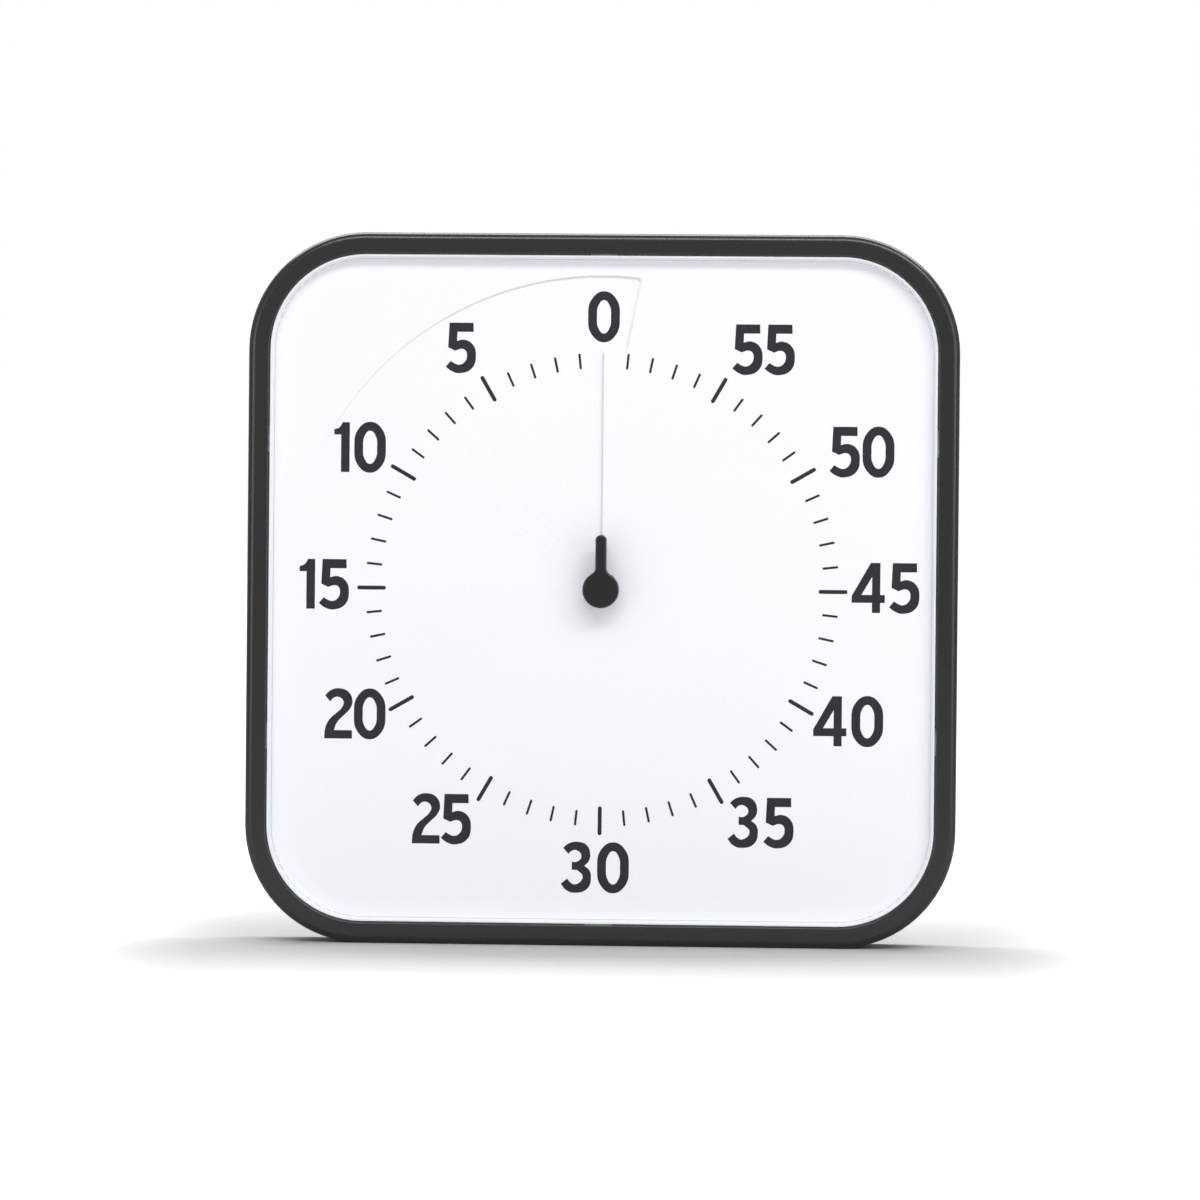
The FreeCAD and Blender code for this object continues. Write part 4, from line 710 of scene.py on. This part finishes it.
@dataclass
class PaintedRimShadow:
    """A painted shadow line that runs all round on the sloping rim of the dial's tray, in place of
    the shade of a fine step.
    """

    axis: Vector
    level_y: float
    material: Any
    half_width: float = 141.45 * MM
    corner_radius: float = 39.45 * MM
    line_width: float = 0.25 * MM
    # how far in front of the level face its outer edge lies, and the rim's depth per width
    climb: float = 2.76 * MM
    slope: float = 5.3 / 1.8
    proud: float = 0.04 * MM
    corner_steps: int = 14

    def loop(self, inset: float) -> list[Point2]:
        """Points of a rounded square.

        Args:
            inset: How far inside the outer line it lies.

        Returns:
            Points counter-clockwise from the right side.
        """
        reach = self.half_width - self.corner_radius
        radius = self.corner_radius - inset
        points = []
        for quarter, (a, b) in enumerate(QUARTERS):
            for step in range(self.corner_steps + 1):
                turn = math.pi / 2 * (quarter + step / self.corner_steps)
                x = reach * a + radius * math.cos(turn)
                y = reach * b + radius * math.sin(turn)
                points.append((x, y))
        return points

    def build(self) -> Any:
        """Makes the painted shadow line as a thin closed ring.

        Returns:
            The new object.
        """
        maker = bmesh.new()
        rings = []
        lean = Vector((self.slope, 1.0)).normalized()
        for across, out in ((0.0, -1), (0.0, 1), (self.line_width, 1), (self.line_width, -1)):
            inset = across + self.proud * out * lean.x
            y = self.level_y - self.climb + across * self.slope - self.proud * out * lean.y
            ring = [maker.verts.new((self.axis.x + x, y, self.axis.z + z))
                    for x, z in self.loop(inset)]
            rings.append(ring + ring[:1])
        for here, there in zip(rings, rings[1:] + rings[:1]):
            bridge(maker, here, there)
        mesh = to_mesh(maker, "dial_rim_painted_shadow")
        return link_piece("dial_rim_painted_shadow", mesh, self.material, ROOT)


# The red sheet


@dataclass
class RedSheet:
    """The time sheet as a smooth screw surface in place of the frame's flat facets."""

    axis: Vector
    front_y: float
    rear_y: float
    material: Any
    inner: float = 6.0 * MM
    outer: float = 92.0 * MM
    thickness: float = 0.3 * MM
    wound_degrees: float = 362.0
    hidden_degrees: float = 2.0
    step_degrees: float = 2.0
    rows: int = 5

    def spoke(self, maker: Any, turn: float, y: float) -> list[Any]:
        """Adds one straight line of points from the collar to the sheet's edge.

        Args:
            maker: The bmesh that gets the points.
            turn: Angle from the top in radians, clockwise as seen from the front.
            y: How far back the line lies.

        Returns:
            The points, from the inside out.
        """
        points = []
        for row in range(self.rows + 1):
            radius = self.inner + (self.outer - self.inner) * row / self.rows
            x = self.axis.x + radius * math.sin(turn)
            z = self.axis.z + radius * math.cos(turn)
            points.append(maker.verts.new((x, y, z)))
        return points

    def build(self) -> Any:
        """Winds the sheet and puts it on its body in place of the node.

        Returns:
            The new object.
        """
        maker = bmesh.new()
        count = round(self.wound_degrees / self.step_degrees)
        climb = self.rear_y - self.front_y - self.thickness
        front = []
        back = []
        for index in range(count + 1):
            share = index / count
            turn = math.radians(self.hidden_degrees + self.wound_degrees * share)
            y = self.front_y + climb * share
            front.append(self.spoke(maker, turn, y))
            back.append(self.spoke(maker, turn, y + self.thickness))
        for layer in (front, back):
            for here, there in zip(layer, layer[1:]):
                bridge(maker, here, there)
        for row in (0, self.rows):
            bridge(maker, [spoke[row] for spoke in front], [spoke[row] for spoke in back])
        for end in (0, count):
            bridge(maker, front[end], back[end])
        mesh = to_mesh(maker, "red_time_sheet")
        piece = link_piece("red_time_sheet", mesh, self.material, "time_sheet")
        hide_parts("time_disk")
        return piece


# Studio


@dataclass(frozen=True)
class SeamlessPaper:
    """White paper that keeps the timer's shadow and is pure white away from it.

    Only the camera sees the paper's own brightness, so none of it falls on the timer.
    """

    name: str = "paper_white_seamless"
    colour: str = "#BEBEBF"
    roughness: float = 0.9
    fibres_per_metre: float = 900.0
    fibre_height: float = 0.02 * MM
    fibre_strength: float = 0.1
    # how far from the timer the paper is fully white, and how much sooner at its sides
    glow_reach: float = 0.6
    side_haste: float = 4.0

    def build(self, half_width: float, half_depth: float) -> Any:
        """Makes the material.

        Args:
            half_width: Half of the timer's width.
            half_depth: How far the timer's face stands in front of the paper's middle.

        Returns:
            The material.
        """
        material = bpy.data.materials.new(self.name)
        material.use_nodes = True
        material.node_tree.nodes.clear()
        place = add_node(material, "ShaderNodeTexCoord").outputs["Object"]
        fibre = add_node(
            material, "ShaderNodeTexNoise",
            {"Scale": self.fibres_per_metre, "Detail": 2.0}, {"Vector": place})
        bump = add_node(
            material, "ShaderNodeBump",
            {"Strength": self.fibre_strength, "Distance": self.fibre_height},
            {"Height": fibre.outputs["Fac"]})
        # how far a place lies outside the timer's outline on the paper
        outside = place
        for operation, amount in (
            ("ABSOLUTE", (0.0, 0.0, 0.0)),
            ("SUBTRACT", (half_width, half_depth, 0.0)),
            ("MAXIMUM", (0.0, 0.0, 0.0)),
            ("MULTIPLY", (self.side_haste, 1.0, 1.0)),
        ):
            outside = add_node(
                material, "ShaderNodeVectorMath",
                {"operation": operation, "1": amount}, {"0": outside}).outputs["Vector"]
        reach = add_node(
            material, "ShaderNodeVectorMath", {"operation": "LENGTH"}, {"0": outside})
        fade = add_node(
            material, "ShaderNodeMapRange",
            {"interpolation_type": "SMOOTHSTEP", "From Min": 0.0, "From Max": self.glow_reach},
            {"Value": reach.outputs["Value"]})
        rays = add_node(material, "ShaderNodeLightPath")
        glow = add_node(
            material, "ShaderNodeMath", {"operation": "MULTIPLY"},
            {"0": rays.outputs["Is Camera Ray"], "1": fade.outputs["Result"]})
        paper = add_node(
            material, "ShaderNodeBsdfPrincipled",
            {"Base Color": linear(self.colour), "Roughness": self.roughness,
             "Emission Color": linear(WHITE)},
            {"Emission Strength": glow.outputs["Value"], "Normal": bump.outputs["Normal"]})
        add_node(material, "ShaderNodeOutputMaterial", None, {"Surface": paper.outputs["BSDF"]})
        return material


@dataclass(frozen=True)
class Softbox:
    """A soft rectangular lamp, placed in metres from the timer's middle."""

    name: str
    place: tuple[float, float, float]
    size: Point2
    watts: float

    def build(self, middle: Vector, target: Vector) -> Any:
        """Puts the lamp up.

        Args:
            middle: The timer's middle.
            target: What the lamp points at.

        Returns:
            The lamp's object.
        """
        light = bpy.data.lights.new(self.name, "AREA")
        light.shape = "RECTANGLE"
        light.size, light.size_y = self.size
        light.energy = self.watts
        lamp = bpy.data.objects.new(self.name, light)
        lamp.location = middle + Vector(self.place)
        lamp.rotation_mode = "QUATERNION"
        lamp.rotation_quaternion = (target - lamp.location).to_track_quat("-Z", "Y")
        bpy.context.scene.collection.objects.link(lamp)
        return lamp


# Above and behind, pointing at the table: the bright line along the case's upper edge
TABLE_LAMP = Softbox("softbox_behind", (0.0, 0.5, 1.2), (2.2, 0.6), 25.0)
# Above, right and left of the camera, and a narrow one for the case's right edge
FACE_LAMPS = (
    Softbox("softbox_top_front", (0.3, -1.25, 1.15), (2.0, 0.4), 14.5),
    Softbox("softbox_front_right", (1.7, -2.0, 0.25), (1.4, 1.4), 7.5),
    Softbox("softbox_front_left", (-1.5, -2.1, -0.1), (1.2, 1.2), 7.5),
    Softbox("strip_right", (1.4, -0.9, 0.0), (0.15, 1.0), 1.0),
)


@dataclass
class Studio:
    """A white table, soft lamps, and the camera of the photograph."""

    centre: Vector
    face_y: float
    half_width: float
    distance: float = 2.4
    yaw_degrees: float = 3.0
    rise_degrees: float = 0.4
    roll_degrees: float = 0.53
    picture_pixels: float = 1200.0
    metres_per_pixel: float = 0.42767 * MM
    # where the middle of the timer's face is in the picture, from its upper left
    face_pixel: Point2 = (601.0, 589.9)
    sensor_mm: float = 36.0
    floor_reach: float = 30.0
    # how bright the even white room is for the timer, and for the camera
    room_light: float = 0.57
    room_seen: float = 1.0

    def camera(self) -> Any:
        """Sets the camera where the photograph was taken from.

        Returns:
            The camera's object.
        """
        target = Vector((self.centre.x, self.face_y, self.centre.z))
        yaw = math.radians(self.yaw_degrees)
        rise = math.radians(self.rise_degrees)
        back = Vector((
            math.sin(yaw) * math.cos(rise), -math.cos(yaw) * math.cos(rise), math.sin(rise)))
        data = bpy.data.cameras.new("camera")
        data.sensor_width = self.sensor_mm
        picture_width = self.picture_pixels * self.metres_per_pixel
        data.lens = self.sensor_mm * self.distance / picture_width
        data.dof.use_dof = False
        middle = self.picture_pixels / 2
        data.shift_x = -(self.face_pixel[0] - middle) / self.picture_pixels
        data.shift_y = (self.face_pixel[1] - middle) / self.picture_pixels
        camera = bpy.data.objects.new("camera", data)
        camera.location = target + back * self.distance
        camera.rotation_mode = "QUATERNION"
        aim = (-back).to_track_quat("-Z", "Y")
        roll = Quaternion((0.0, 0.0, 1.0), math.radians(self.roll_degrees))
        camera.rotation_quaternion = aim @ roll
        bpy.context.scene.collection.objects.link(camera)
        bpy.context.scene.camera = camera
        return camera

    def floor(self) -> Any:
        """Builds the table that the timer stands on.

        Returns:
            The floor's object.
        """
        mesh = bpy.data.meshes.new("table_top")
        sides = ((-1, -1), (1, -1), (1, 1), (-1, 1))
        corners = [(x * self.floor_reach, y * self.floor_reach, 0.0) for x, y in sides]
        mesh.from_pydata(corners, [], [range(len(corners))])
        mesh.materials.append(SeamlessPaper().build(self.half_width, -self.face_y))
        floor = bpy.data.objects.new("table_top", mesh)
        bpy.context.scene.collection.objects.link(floor)
        return floor

    def light(self) -> None:
        """Puts up the lamps."""
        below = Vector((self.centre.x, self.centre.y, 0.0))
        TABLE_LAMP.build(self.centre, below)
        for lamp in FACE_LAMPS:
            lamp.build(self.centre, self.centre)

    def room(self) -> Any:
        """Makes the even white room.

        Returns:
            The world.
        """
        world = bpy.data.worlds.new("studio_room")
        bpy.context.scene.world = world
        world.use_nodes = True
        world.node_tree.nodes.clear()
        rays = add_node(world, "ShaderNodeLightPath")
        strength = add_node(
            world, "ShaderNodeMapRange", {"To Min": self.room_light, "To Max": self.room_seen},
            {"Value": rays.outputs["Is Camera Ray"]})
        sky = add_node(
            world, "ShaderNodeBackground", {"Color": linear(WHITE)},
            {"Strength": strength.outputs["Result"]})
        add_node(world, "ShaderNodeOutputWorld", None, {"Surface": sky.outputs["Background"]})
        return world

    def build(self) -> None:
        """Sets up the whole studio."""
        self.camera()
        self.floor()
        self.light()
        self.room()
        bpy.context.scene.view_settings.view_transform = "Standard"


def main(frame: dict[str, Any]) -> None:
    """Builds and dresses the timer, then the studio round it.
    """
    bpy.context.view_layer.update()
    low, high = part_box("front_frame")
    hub_low, hub_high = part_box("disk_hub")
    axis = Vector(((hub_low.x + hub_high.x) / 2, 0.0, (hub_low.z + hub_high.z) / 2))
    materials = {
        "case": CASE_ABS.build(), "dial": DIAL_ABS.build(), "film": RED_FILM.build(),
        "knob": KNOB_ABS.build(), "zinc": ZINC_STEEL.build(), "spring": SPRING_STEEL.build(),
        "brass": BRASS.build(), "movement": MOVEMENT_PS.build(), "wire": COPPER_WIRE.build(),
        "board": SOLDER_MASK.build(), "cell": CELL_JACKET.build(), "rubber": PAD_RUBBER.build(),
    }
    Studio((low + high) / 2, low.y, (high.x - low.x) / 2).build()
    FrameDressing(frame["nodes"]).dress(materials)
    dial = DialPrint(frame["nodes"]["dial_plate"], axis, PRINT_INK.build())
    dial.build()
    # a thin grey ring of painted shadow on the tray's rim
    PaintedRimShadow(axis, dial.level_y, RIM_SHADOW_PAINT.build()).build()
    sheet_low, sheet_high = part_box("time_disk")
    RedSheet(axis, sheet_low.y, sheet_high.y, materials["film"]).build()


if __name__ == "__main__":
    logging.basicConfig(level=logging.INFO, format="%(message)s")
    main(frame)
